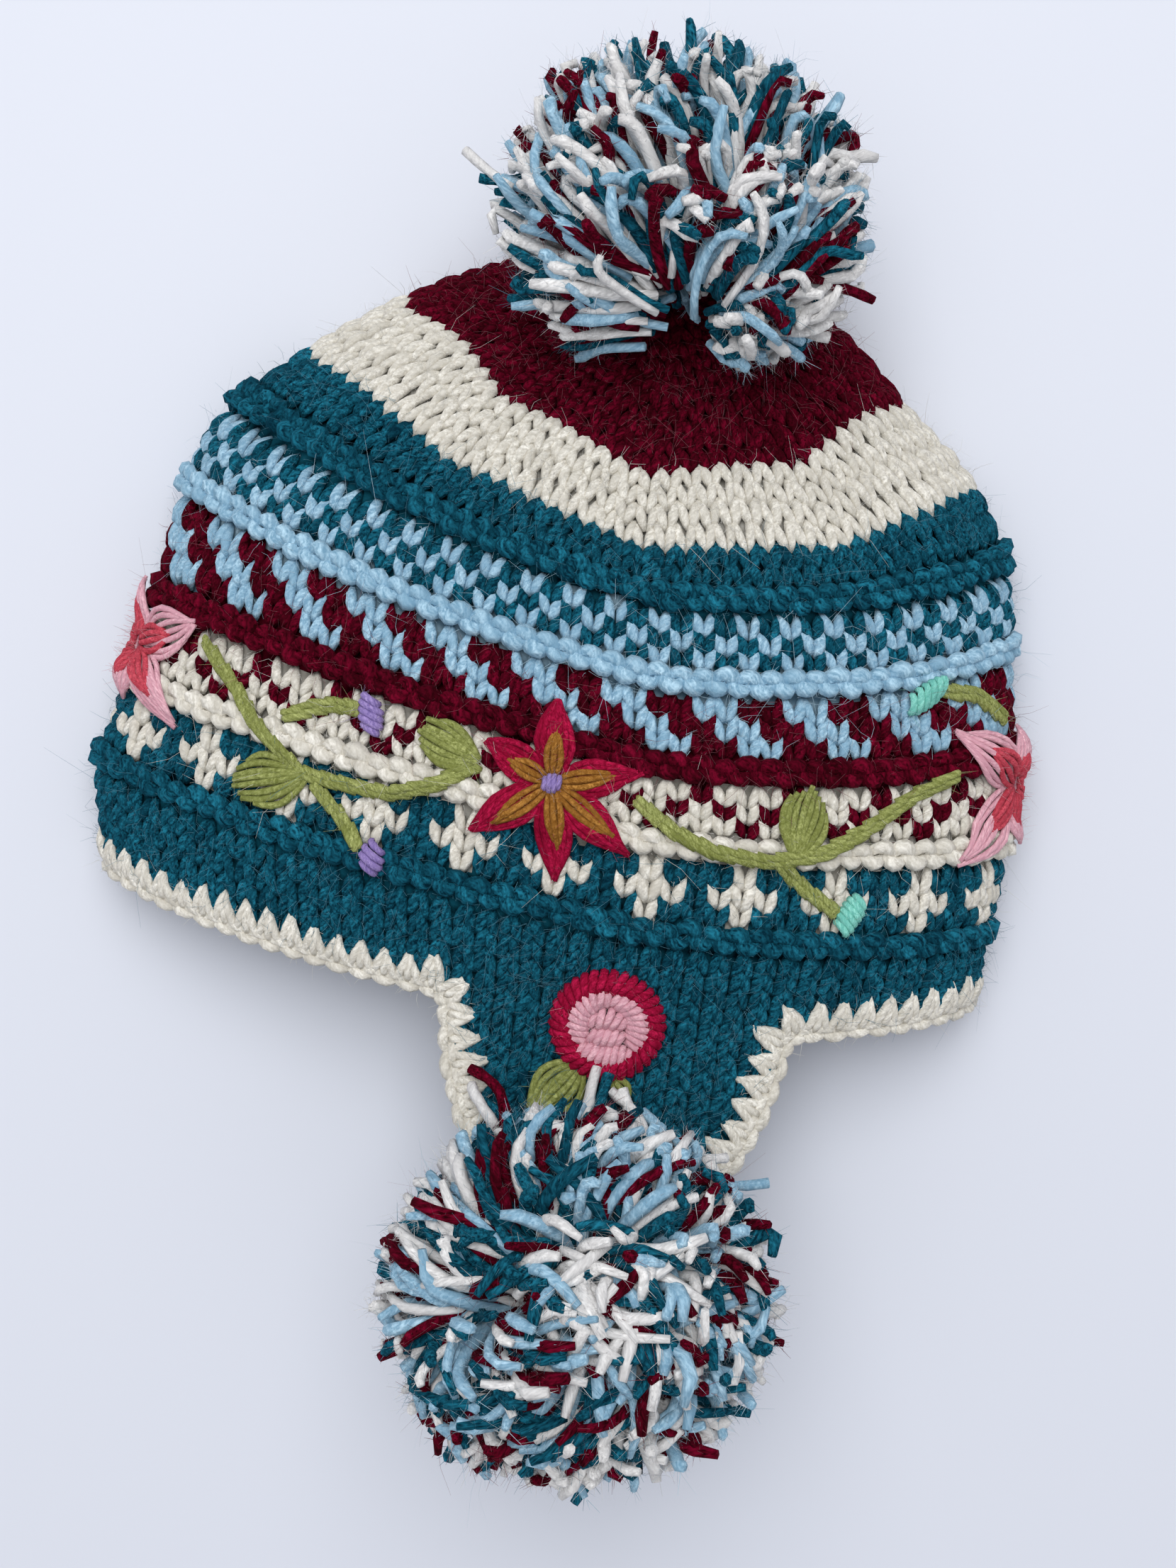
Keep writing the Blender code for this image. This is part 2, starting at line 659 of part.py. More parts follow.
# The big star flower on the near side, with inner strands and a knot.
STAR_AT = sewn(-0.192, 0.304)
STAR_PETALS = ((-142, 1.00), (-85, 0.92), (-36, 0.96), (16, 0.87), (88, 0.82), (158, 0.74))
whole = star(STAR_PETALS, STAR_RADIUS, PETAL_WIDTH, PETAL_ROOT)
plate("star_flower", "crimson", on_body, STAR_AT, whole, rings=3)
plate("star_flower_inlay", "ochre", on_body, STAR_AT,
      star(STAR_PETALS, 0.68 * STAR_RADIUS, INLAY_WIDTH, INLAY_ROOT), INLAY, under=PLY + GAP,
      footing=whole)
plate("star_flower_knot", "lilac", on_body, STAR_AT,
      [(KNOT_RADIUS * math.cos(math.pi * k / 4), KNOT_RADIUS * math.sin(math.pi * k / 4))
       for k in range(8)], KNOT_HEIGHT, rings=1, under=PLY + INLAY + 2 * GAP, footing=whole)

# Stems from the star flower to the side flowers, and their short branches.
stem("stem_left", [(-0.412, 0.275), (-0.473, 0.250), (-0.538, 0.236), (-0.644, 0.230),
                   (-0.744, 0.232), (-0.838, 0.269), (-0.925, 0.312), (-1.005, 0.341)])
stem("stem_right", [(-0.004, 0.297), (0.069, 0.263), (0.154, 0.242), (0.263, 0.235),
                    (0.375, 0.248), (0.479, 0.279), (0.587, 0.320), (0.664, 0.339)])
stem("branch_left_upper", [(-0.786, 0.295), (-0.710, 0.322), (-0.637, 0.335)])
stem("branch_left_lower", [(-0.706, 0.207), (-0.656, 0.187), (-0.608, 0.163)])
stem("branch_right_lower", [(0.298, 0.217), (0.359, 0.193), (0.416, 0.173)])
stem("branch_right_upper", [(0.673, 0.445), (0.760, 0.424), (0.845, 0.396)])
bud("bud_left_upper", "lilac", sewn(-0.590, 0.334), BUD_LENGTH / 2)
bud("bud_left_lower", "lilac", sewn(-0.569, 0.147), BUD_LENGTH / 2)
bud("bud_right_lower", "mint", sewn(0.458, 0.166), BUD_LENGTH / 2)
bud("bud_right_upper", "mint", sewn(0.627, 0.436), BUD_LENGTH_SMALL / 2)
for name, base, tip in (("leaf_left", (-0.744, 0.213), (-0.908, 0.181)),
                        ("leaf_star", (-0.408, 0.294), (-0.477, 0.359)),
                        ("leaf_right", (0.305, 0.261), (0.351, 0.329))):
    middle, outline = leaf(sewn(*base), sewn(*tip), LEAF_WIDTH)
    plate(name, "olive", on_body, middle, outline)

# Side flowers wrap round the folds. Petals that would reach the plane stay short.
SIDE_FLOWERS = (
    ("side_flower_left", (-1.214, 0.296),
     ((-150, 0.45), (-95, 0.80), (-30, 0.86), (25, 1.00), (85, 0.85), (150, 0.45))),
    ("side_flower_right", (0.863, 0.311),
     ((-85, 0.80), (-30, 0.50), (30, 0.45), (88, 0.56), (150, 1.00), (211, 0.96))))
for name, place, petals in SIDE_FLOWERS:
    whole = star(petals, SIDE_RADIUS, PETAL_WIDTH, PETAL_ROOT)
    plate(name, "pink", on_body, sewn(*place), whole, rings=4, under=2 * GAP)
    plate(name + "_inlay", "coral", on_body, sewn(*place),
          star(petals, 0.55 * SIDE_RADIUS, INLAY_WIDTH, INLAY_ROOT), INLAY, rings=3,
          under=PLY + 4 * GAP, footing=whole)

# The coiled rose on the near flap: a ring of bullion stitches round four paler ones.
# Its places are shares of FLAP_WIDTH and FLAP_LENGTH.
ROSE_AT = (-0.027 * FLAP_WIDTH, -0.062 * FLAP_LENGTH)
mesh = bmesh.new()
ring_radius, tube = 0.76 * ROSE_RADIUS, 0.24 * ROSE_RADIUS
count, sides = 16, 6
turned = [[None] * sides for _ in range(count)]
for k in range(count):
    a = 2 * math.pi * k / count
    for j in range(sides):
        b = 2 * math.pi * (j + 0.5) / sides
        reach = ring_radius + tube * math.cos(b)
        base, up, _ = on_flap(ROSE_AT[0] + reach * math.cos(a), ROSE_AT[1] + reach * math.sin(a))
        turned[k][j] = mesh.verts.new(base + up * (tube * math.sin(b) + tube + GAP))
for k in range(count):
    for j in range(sides):
        mesh.faces.new((turned[k][j], turned[(k + 1) % count][j],
                        turned[(k + 1) % count][(j + 1) % sides], turned[k][(j + 1) % sides]))
bmesh.ops.recalc_face_normals(mesh, faces=mesh.faces)
add_mesh("rose_ring", mesh, "crimson")
core_radius = ring_radius - tube - GAP
plate("rose_coils", "pink", on_flap, ROSE_AT,
      [(core_radius * (0.86 + 0.10 * math.cos(math.pi * k / 2)) * math.cos(math.pi * k / 8),
        core_radius * (0.86 + 0.10 * math.cos(math.pi * k / 2)) * math.sin(math.pi * k / 8))
       for k in range(16)], COIL_HEIGHT)
middle, outline = leaf((-0.121 * FLAP_WIDTH, -0.320 * FLAP_LENGTH),
                       (-0.219 * FLAP_WIDTH, -0.492 * FLAP_LENGTH), ROSE_LEAF_WIDTH)
plate("rose_leaf", "olive", on_flap, middle, outline)
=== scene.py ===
"""Looks of the hand-knitted earflap hat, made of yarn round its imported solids.

The hat lies on its side on the plane z = 0, with its crown at +Y and its flaps at -Y.
A place on the body is u, the share of the way round it from its near middle to the
right, and v, the share of the way from the rim to the crown. Lengths are in metres.
"""
import math

import bpy
import numpy as np
from mathutils import Euler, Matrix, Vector


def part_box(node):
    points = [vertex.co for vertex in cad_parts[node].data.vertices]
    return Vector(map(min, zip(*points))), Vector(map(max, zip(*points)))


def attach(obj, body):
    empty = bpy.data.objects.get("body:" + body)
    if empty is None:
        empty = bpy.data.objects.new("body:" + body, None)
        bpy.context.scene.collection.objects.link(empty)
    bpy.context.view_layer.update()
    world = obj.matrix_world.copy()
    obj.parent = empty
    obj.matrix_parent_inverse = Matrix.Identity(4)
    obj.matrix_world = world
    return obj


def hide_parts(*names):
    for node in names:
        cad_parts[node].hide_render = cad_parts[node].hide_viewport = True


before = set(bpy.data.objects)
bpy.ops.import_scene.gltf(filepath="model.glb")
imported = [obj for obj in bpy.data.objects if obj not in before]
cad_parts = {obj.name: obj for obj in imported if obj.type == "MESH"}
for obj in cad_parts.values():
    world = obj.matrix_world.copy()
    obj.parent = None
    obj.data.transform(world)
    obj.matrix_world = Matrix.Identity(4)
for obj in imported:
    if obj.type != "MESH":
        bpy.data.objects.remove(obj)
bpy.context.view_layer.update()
MM = 0.001
TURN = 2 * math.pi

# Driving sizes of the hat, as in the solids.
HALF_WIDTH = 0.131
HAT_LENGTH = 0.1993
NEAR_HEIGHT = 0.056
FOLD_HEIGHT = 0.013
WALL = 0.005
GAP = 0.00035
FLAP_WIDTH = 0.089
FLAP_LENGTH = 0.064
FLAP_FILLET = 0.008
FLAP_LIFT = 0.009
FLAP_MIDDLE = 0.179
EDGE_RADIUS = 0.0025
NEAR_ARC = 0.2034           # rim to crown along the near middle

# Sections of the body: shares of the sizes above, from the rim to the crown.
COLUMNS = ("along", "left_x", "left_y", "right_x", "right_y", "side_z",
           "near_x", "near_y", "near_z", "far_y", "far_z", "reach", "bow")
UNITS = (1.0, HALF_WIDTH, HAT_LENGTH, HALF_WIDTH, HAT_LENGTH, FOLD_HEIGHT,
         HALF_WIDTH, HAT_LENGTH, NEAR_HEIGHT, HAT_LENGTH, NEAR_HEIGHT, FOLD_HEIGHT, 1.0)
SECTIONS = (
    (0.000, -1.015, -0.336, 0.981, -0.361, 1.00, 0.183, -0.450, 0.857, -0.326, 0.000, 1.10, 1.6),
    (0.095, -1.053, -0.216, 0.985, -0.291, 1.00, 0.179, -0.355, 0.929, -0.231, 0.000, 1.10, 1.6),
    (0.204, -1.023, -0.110, 1.000, -0.181, 1.00, 0.179, -0.244, 0.964, -0.120, 0.000, 1.10, 1.6),
    (0.316, -0.985, 0.010, 0.992, -0.035, 1.00, 0.163, -0.130, 1.000, -0.005, 0.000, 1.10, 1.6),
    (0.438, -0.954, 0.196, 0.954, 0.125, 1.00, 0.144, -0.007, 1.000, 0.125, 0.000, 1.10, 1.6),
    (0.555, -0.885, 0.331, 0.920, 0.256, 1.00, 0.124, 0.112, 0.982, 0.241, 0.000, 1.10, 1.6),
    (0.638, -0.725, 0.437, 0.824, 0.376, 1.00, 0.114, 0.195, 0.929, 0.341, 0.000, 1.10, 1.6),
    (0.747, -0.534, 0.532, 0.634, 0.487, 1.00, 0.098, 0.302, 0.821, 0.442, 0.000, 1.15, 1.6),
    (0.807, -0.397, 0.580, 0.504, 0.562, 1.15, 0.092, 0.361, 0.750, 0.522, 0.000, 1.50, 1.5),
    (0.864, -0.290, 0.607, 0.382, 0.607, 1.38, 0.086, 0.416, 0.696, 0.592, 0.036, 2.30, 1.4),
    (0.915, -0.168, 0.617, 0.290, 0.615, 1.85, 0.082, 0.467, 0.652, 0.635, 0.161, 3.00, 1.2),
    (0.953, -0.061, 0.600, 0.206, 0.597, 2.15, 0.079, 0.504, 0.616, 0.637, 0.339, 3.50, 1.1),
    (0.982, 0.015, 0.575, 0.137, 0.574, 2.35, 0.077, 0.532, 0.589, 0.602, 0.473, 3.50, 1.0),
    (1.000, 0.075, 0.550, 0.077, 0.550, 2.42, 0.076, 0.549, 0.564, 0.551, 0.561, 3.50, 1.0),
)
FLAP_OUTLINE = ((0.00, 1.00), (0.15, 0.985), (0.30, 0.94), (0.45, 0.86), (0.60, 0.74),
                (0.74, 0.58), (0.86, 0.40), (0.94, 0.25), (1.00, 0.10))

# The knitting: columns round the hat, and bands of rows in mm from the rim to the crown.
# A chart row is four columns wide, with its first letter at a flower's middle.
ROUND = 88
SECTORS = 8
FIRST_CORNER = -1.0         # column where the crown's first sector begins
LETTERS = {"T": "teal", "C": "cream", "B": "burgundy", "L": "blue"}
BANDS = (
    ("knit", 0.0, 19.6, ("TTTT", "TTTT", "TTTT", "TTTT")),
    ("purl", 19.6, 28.2, ("TTTT",)),
    ("knit", 28.2, 44.4, ("CTTT", "CCTC", "CTTT")),
    ("purl", 44.4, 53.4, ("CCCC",)),
    ("knit", 53.4, 65.8, ("BCCC", "CBCB", "CCBC")),
    ("purl", 65.8, 74.6, ("BBBB",)),
    ("knit", 74.6, 89.6, ("LLBB", "LBBL", "BBLL")),
    ("purl", 89.6, 98.4, ("LLLL",)),
    ("knit", 98.4, 112.4, ("LTLT", "TLTL", "LTLT")),
    ("purl", 112.4, 121.0, ("TTTT",)),
    ("knit", 121.0, 129.8, ("TTTT", "TTTT")),
    ("knit", 129.8, 152.0, ("CCCC", "CCCC", "CCCC", "CCCC")),
    ("knit", 152.0, 203.4, ("BBBB",) * 10),
)
UPPER_START = 72.0          # from here the rows are a piece of their own
CROWN_START = 121.0         # from here the rows run straight between eight corners
FULL_COLUMN = 0.0062        # width of a column whose yarn has its full thickness
FLAP_ROWS = 13
LEG_RADIUS = 0.00163
PURL_RADIUS = 0.00225
PURL_RISE = 2.9             # how far embroidery rides up over a purl ridge, in mm
TUCK = 0.0019               # how deep the core lies under the stitches; its outer face is darkened as painted shade
LEFT_REACH = 0.165          # from the near middle round to the left fold
LEFT_PULL = 0.005           # how far rows are pulled to the crown on that side
LOWEST = 0.00005            # no strand's middle line goes below this height

# Loose hairs on the body, on a flap, on the edging and on a strand of embroidery.
BODY_HAIRS = 20000
FLAP_HAIRS = 900
EDGE_HAIRS = 1500
SEWN_HAIRS = 6

# The crochet edging: the length of a stitch, its yarn, and its spikes over the fabric.
EDGE_STITCH = 0.007
EDGE_LOWEST = 0.0009
CHAIN_RADIUS = 0.0017
SPIKE_RADIUS = 0.00145
SPIKE_DEPTH = 0.0066
SPIKE_START = 0.0022

ROW_STARTS = np.array([start + (end - start) / len(chart) * r
                       for _, start, end, chart in BANDS for r in range(len(chart))])
ROW_COLOURS = np.array([[LETTERS[letter] for letter in letters]
                        for *_, chart in BANDS for letters in chart])

# Yarn colours: the dark and the light shade of the fibres, mixed by random streaks and, as painted
# shade, by the grooves between plies and the hollows of the felt.
YARNS = {
    "teal": ((0.0010, 0.016, 0.029), (0.016, 0.195, 0.290)),
    "burgundy": ((0.018, 0.0006, 0.002), (0.190, 0.003, 0.022)),
    "cream": ((0.520, 0.490, 0.420), (0.930, 0.900, 0.815)),
    # painted light: the pom-poms' copy of the cream yarn, paler and cooler for the bluish skylight
    # on them
    "white": ((0.560, 0.550, 0.540), (0.930, 0.920, 0.900)),
    "blue": ((0.170, 0.320, 0.440), (0.500, 0.720, 0.850)),
    "olive": ((0.150, 0.170, 0.040), (0.470, 0.510, 0.190)),
    "crimson": ((0.170, 0.002, 0.016), (0.580, 0.015, 0.080)),
    "ochre": ((0.190, 0.075, 0.012), (0.540, 0.260, 0.060)),
    "pink": ((0.560, 0.270, 0.330), (0.900, 0.560, 0.610)),
    "coral": ((0.360, 0.035, 0.055), (0.780, 0.120, 0.160)),
    "lilac": ((0.180, 0.130, 0.340), (0.440, 0.330, 0.640)),
    "mint": ((0.130, 0.440, 0.370), (0.370, 0.820, 0.690)),
}


# Small helpers.

def unit(vectors):
    """Vectors scaled to length 1."""
    return vectors / np.maximum(np.linalg.norm(vectors, axis=-1, keepdims=True), 1e-12)


def run_along(paths):
    """The distance run at each point of a path, or of many paths at once."""
    steps = np.linalg.norm(np.diff(paths, axis=-2), axis=-1)
    return np.concatenate([np.zeros_like(steps[..., :1]), np.cumsum(steps, axis=-1)], axis=-1)


def at_runs(where, run, values):
    """Rows of values at many places, where run is the place of each row."""
    return np.stack([np.interp(where, run, column) for column in values.T], -1)


def add_object(name, data):
    """A new object of the scene."""
    made = bpy.data.objects.new(name, data)
    bpy.context.scene.collection.objects.link(made)
    return made


def make_piece(mesh, looks, layers):
    """The piece of a mesh, with its wools and its layers of vectors, on the hat's body."""
    mesh.shade_smooth()
    for label, values in layers.items():
        layer = mesh.attributes.new(label, "FLOAT_VECTOR", "POINT")
        layer.data.foreach_set("vector", values.astype(np.float32).ravel())
    for name in looks:
        mesh.materials.append(wool(name))
    piece = add_object(mesh.name, mesh)
    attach(piece, "root")
    return piece


def stand_for(piece, node):
    """Let a piece take the place of one of the solids."""
    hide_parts(node)


# Shaders.

def fill(node, inputs):
    """Link or set a shader node's inputs, given by name or number."""
    for slot, value in inputs.items():
        if isinstance(value, bpy.types.NodeSocket):
            node.id_data.links.new(value, node.inputs[slot])
        else:
            node.inputs[slot].default_value = value
    return node


def new_node(tree, kind, inputs, **settings):
    """A shader node with its settings and its inputs."""
    node = tree.nodes.new("ShaderNode" + kind)
    for label, value in settings.items():
        setattr(node, label, value)
    return fill(node, inputs)


def math_node(tree, operation, *values):
    """A math node on sockets or plain numbers."""
    return new_node(tree, "Math", dict(enumerate(values)), operation=operation).outputs[0]


def noise_node(tree, vector, scale, detail):
    """Fractal noise, from 0 to 1."""
    return new_node(tree, "TexNoise",
                    {"Vector": vector, "Scale": scale, "Detail": detail}).outputs[0]


def ramp_node(tree, value, low, high, first=0.0, last=1.0):
    """Values from low to high, spread from first to last."""
    return new_node(tree, "MapRange", {"Value": value, "From Min": low, "From Max": high,
                                       "To Min": first, "To Max": last}).outputs[0]


def mix_node(tree, factor, first, second):
    """Mix of two colours."""
    return new_node(tree, "Mix", {0: factor, 6: first, 7: second}, data_type="RGBA").outputs[2]


def layer_node(tree, label):
    """A vector that is kept on the mesh."""
    return new_node(tree, "Attribute", {}, attribute_name=label).outputs["Vector"]


def parts_node(tree, vector):
    """The three numbers of a vector."""
    return new_node(tree, "SeparateXYZ", {0: vector}).outputs


def fibre_shades(tree, dark, light):
    """Colour and relief of plied wool, from the place on its own straightened strand, with painted
    shade in the grooves between plies.
    """
    place = layer_node(tree, "yarn")
    strand = layer_node(tree, "strand")
    long_way = new_node(tree, "VectorMath", {0: place, 1: (0.30, 1.5, 1.5)},
                        operation="MULTIPLY").outputs[0]
    streaks = noise_node(tree, long_way, 1.4, 4.0)
    patches = noise_node(tree, place, 0.35, 2.0)
    ply = math_node(tree, "ABSOLUTE", parts_node(tree, place)[1])
    tone = math_node(tree, "ADD", patches, parts_node(tree, strand)[0])
    # painted shade: the colour darkens into the grooves between the plies, besides the random
    # streaks and tones
    share = math_node(tree, "MULTIPLY", ramp_node(tree, streaks, 0.34, 0.68),
                      ramp_node(tree, ply, -0.5, 0.55))
    share = math_node(tree, "MULTIPLY", share, ramp_node(tree, tone, -0.35, 0.75))
    share = new_node(tree, "Clamp", {"Value": share}).outputs[0]
    relief = math_node(tree, "ADD", math_node(tree, "MULTIPLY", streaks, 0.55),
                       math_node(tree, "MULTIPLY", ply, 0.45))
    return {"Colour": mix_node(tree, share, dark, light), "Height": relief,
            "Roughness": ramp_node(tree, streaks, 0.0, 1.0, 0.95, 0.72)}


def felt_shades(tree, dark, light):
    """Colour and relief of dense knitting seen from its back: rows of small bumps, with painted
    shade in their hollows.
    """
    place = layer_node(tree, "yarn")
    across, up = [math_node(tree, "SINE", math_node(tree, "MULTIPLY", part, TURN))
                  for part in parts_node(tree, place)[:2]]
    bumps = math_node(tree, "ADD", math_node(tree, "MULTIPLY_ADD", across, 0.25, 0.5),
                      math_node(tree, "MULTIPLY", up, 0.3))
    fibres = noise_node(tree, place, 5.0, 4.0)
    height = math_node(tree, "ADD", math_node(tree, "MULTIPLY", bumps, 0.7),
                       math_node(tree, "MULTIPLY", fibres, 0.4))
    # painted shade: the colour follows the height, darker in the hollows between the bumps; the
    # fibre noise adds random tone
    share = ramp_node(tree, height, 0.2, 0.95)
    return {"Colour": mix_node(tree, share, dark, light), "Height": height}


def shader_group(name, shades, outputs):
    """A shader group whose outputs are made by shades from a dark and a light colour."""
    tree = bpy.data.node_groups.new(name, "ShaderNodeTree")
    for label in ("Dark", "Light"):
        tree.interface.new_socket(label, in_out="INPUT", socket_type="NodeSocketColor")
    for label in outputs:
        kind = "Color" if label == "Colour" else "Float"
        tree.interface.new_socket(label, in_out="OUTPUT", socket_type="NodeSocket" + kind)
    given = tree.nodes.new("NodeGroupInput").outputs
    fill(tree.nodes.new("NodeGroupOutput"), shades(tree, given["Dark"], given["Light"]))
    return tree


FIBRES = shader_group("wool_fibres", fibre_shades, ("Colour", "Height", "Roughness"))
FELT = shader_group("knit_back", felt_shades, ("Colour", "Height"))
wools = {}


def new_material(name):
    """A material and its main shader."""
    material = bpy.data.materials.new(name)
    material.use_nodes = True
    return material, material.node_tree.nodes["Principled BSDF"]


def wool(name):
    """The wool of one colour: its yarn, its loose fuzz made paler as painted highlight, the
    knitting's back, or the gaps between stitches darkened as painted shade.
    """
    if name in wools:
        return wools[name]
    colour, _, kind = name.partition(" ")
    dark, light = [np.array(shade) for shade in YARNS[colour]]
    # fuzz: paler than its yarn, a painted highlight of light caught in loose fibres
    if kind == "fuzz":
        dark, light = [shade + (0.8 - shade) * 0.12 for shade in (light, light * 1.2)]
    # gap: the core seen between the stitches, its colours halved as painted shade
    elif kind == "gap":
        dark, light = dark * 0.45, light * 0.5
    flat = kind in ("back", "gap")
    material, shader = new_material("wool_" + name.replace(" ", "_"))
    tree = material.node_tree
    group = new_node(tree, "Group", {"Dark": (*dark, 1.0), "Light": (*light, 1.0)},
                     node_tree=FELT if flat else FIBRES).outputs
    bump = new_node(tree, "Bump", {"Strength": 0.8, "Distance": (1.2 if flat else 0.5) * MM,
                                   "Height": group["Height"]})
    fill(shader, {"Normal": bump.outputs["Normal"], "Base Color": group["Colour"],
                  "Roughness": 0.95 if flat else group["Roughness"],
                  "Specular IOR Level": 0.02, "Sheen Weight": 0.10, "Sheen Roughness": 0.5,
                  "Sheen Tint": (*np.minimum(1.0, 0.05 + 1.6 * light), 1.0)})
    wools[name] = material
    return material


# The hat's surface, sampled densely so that stitches can be laid on it all at once.

def smooth_row(rows, where):
    """Smooth values between the rows of a table whose first column is the place."""
    table = np.array(rows)
    last = len(table) - 1
    k = int(np.clip(np.searchsorted(table[:, 0], where, "right") - 1, 0, last - 1))
    low, high = table[k], table[k + 1]
    before, after = table[max(k - 1, 0)], table[min(k + 2, last)]
    span = high[0] - low[0]
    t = (where - low[0]) / span
    if t < 0.0:
        return low + (high - low) * t
    slope_low = (high - before) / (high[0] - before[0]) * span
    slope_high = (after - low) / (after[0] - low[0]) * span
    return (low * (2 * t ** 3 - 3 * t ** 2 + 1) + slope_low * (t ** 3 - 2 * t ** 2 + t)
            + high * (3 * t ** 2 - 2 * t ** 3) + slope_high * (t ** 3 - t ** 2))


def section(along):
    """The body's section at one place along it, in metres."""
    s = dict(zip(COLUMNS, smooth_row(SECTIONS, along) * np.array(UNITS)))
    s["far_z"] = max(s["far_z"], 0.0)
    return s


def side_of(s, x):
    """The x and y of the side fold that each x of a section belongs to."""
    right = x >= s["near_x"]
    return np.where(right, s["right_x"], s["left_x"]), np.where(right, s["right_y"], s["left_y"])


def near_points(s, x):
    """Points of a section's near side at many x."""
    side_x, side_y = side_of(s, x)
    sine = np.clip((x - s["near_x"]) / (side_x - s["near_x"]), 0.0, 1.0)
    cosine = np.sqrt(1.0 - sine ** 2)
    y = side_y + (s["near_y"] - side_y) * cosine ** s["bow"]
    return np.stack([x, y, s["side_z"] + (s["near_z"] - s["side_z"]) * cosine], -1)


def far_points(s, x):
    """Points of a section's flat far side at many x."""
    side_x, side_y = side_of(s, x)
    share = (x - s["near_x"]) / (side_x - s["near_x"])
    y = s["far_y"] + (side_y - s["far_y"]) * share ** 2
    return np.stack([x, y, np.full_like(x, s["far_z"])], -1)


def loop_points(along):
    """A dense closed loop round the body, from the near middle round the right fold."""
    s = section(along)
    nearly = 0.999999       # keeps the near side's points just short of the fold
    halves = []
    for side in ("right", "left"):
        width = s[side + "_x"] - s["near_x"]
        turn = np.linspace(0, math.pi / 2, 60, endpoint=False)
        near = near_points(s, s["near_x"] + width * np.sin(turn) * nearly)
        turn = np.linspace(0, math.pi / 2, 24, endpoint=False)
        reach = math.copysign(min(s["reach"], abs(width)), width)
        fold = far_points(s, s[side + "_x"] - reach * (1 - np.cos(turn)))
        fold[:, 2] = s["side_z"] - (s["side_z"] - s["far_z"]) * np.sin(turn)
        flat = far_points(s, s[side + "_x"] - reach - (width - reach) * np.linspace(0, 1, 30))
        halves.append(np.concatenate([near, fold, flat]))
    return np.concatenate([halves[0], halves[1][-2::-1]])


V_LOW, V_HIGH, V_STEP, U_COUNT = -0.03, 1.0, 0.0025, 1024
v_places = np.arange(V_LOW, V_HIGH + V_STEP / 2, V_STEP)
grid = np.empty((len(v_places), U_COUNT + 1, 3))
girths = np.empty(len(v_places))
for k, v in enumerate(v_places):
    points = loop_points(min(v, 1.0))
    lengths = run_along(points)
    girths[k] = lengths[-1]
    grid[k] = at_runs(np.linspace(0, lengths[-1], U_COUNT + 1), lengths, points)

wrapped = np.concatenate([grid[:, -3:-1], grid, grid[:, 1:3]], axis=1)
round_way = wrapped[:, 4:] - wrapped[:, :-4]
facing = unit(np.cross(round_way, np.gradient(grid, axis=0)))
facing[-1] = facing[-2]


def girth(v):
    """Length of the loop at v."""
    return np.interp(v, v_places, girths)


def on_hat(u, v, height):
    """Points and normals at a height over the body. The underside stays on the plane."""
    u, v, height = np.broadcast_arrays(u, v, height)
    across = (u % 1.0) * U_COUNT
    up = np.clip((v - V_LOW) / V_STEP, 0, len(v_places) - 1.001)
    i, j = up.astype(int), across.astype(int)
    a, b = (up - i)[..., None], (across - j)[..., None]
    j = np.minimum(j, U_COUNT - 1)

    def between(table):
        lower = table[i, j] * (1 - b) + table[i, j + 1] * b
        return lower * (1 - a) + (table[i + 1, j] * (1 - b) + table[i + 1, j + 1] * b) * a

    normal = unit(between(facing))
    sunk = LEG_RADIUS * np.clip((-normal[..., 2] - 0.3) / 0.6, 0.0, 1.0)
    point = between(grid) + normal * (height - sunk)[..., None]
    point[..., 2] = np.maximum(point[..., 2], LOWEST)
    return point, normal


def row_shift(u, along):
    """How far a row is pulled towards the crown, in metres.

    Crown rows bend between their corners, and all rows ride up on the near side's left.
    """
    sector = (u * ROUND - FIRST_CORNER) / (ROUND / SECTORS)
    angle = (sector - np.floor(sector) - 0.5) * TURN / SECTORS
    radius = np.maximum(NEAR_ARC - along, 0.0)
    grown = np.clip((along / MM - CROWN_START) / 20.0, 0.0, 1.0)
    bent = radius * (1 - math.cos(math.pi / SECTORS) / np.cos(angle)) * grown
    leftward = np.clip((1.0 - u % 1.0) * girths[0] / LEFT_REACH, 0.0, 1.0)
    faded = np.clip(along / 0.030, 0.0, 1.0) * np.clip((0.185 - along) / 0.040, 0.0, 1.0)
    return bent + LEFT_PULL * np.abs(np.sin(math.pi * leftward)) ** 0.8 * faded


def on_rows(u, along, height):
    """Points and normals over the body, at a length from the rim that follows the rows."""
    return on_hat(u, (along + row_shift(u, along)) / NEAR_ARC, height)


def row_colours(u, v):
    """Yarn colours of the knitting at many places."""
    along = v * NEAR_ARC
    row = np.searchsorted(ROW_STARTS, (along - row_shift(u, along)) / MM, "right") - 1
    return ROW_COLOURS[np.clip(row, 0, len(ROW_STARTS) - 1), np.floor(u * ROUND).astype(int) % 4]


# Flaps: a place is the distance across from the flap's middle and the depth below the rim.

RIM, RIM_IN = section(0.0), section(0.02)
FLAP_X = FLAP_MIDDLE * HALF_WIDTH
half_shares = np.linspace(0, 1, 101)
half_widths = np.array([smooth_row(FLAP_OUTLINE, share)[1] for share in half_shares])


def flap_half(depth):
    """Half a flap's width at many depths."""
    depth = np.atleast_1d(depth)
    shares = np.clip(depth / FLAP_LENGTH, 0.0, 1.0)
    half = np.interp(shares, half_shares, half_widths) * FLAP_WIDTH / 2
    inner = np.clip(FLAP_FILLET - depth, 0.0, FLAP_FILLET)
    return half + FLAP_FILLET - np.sqrt(FLAP_FILLET ** 2 - inner ** 2)


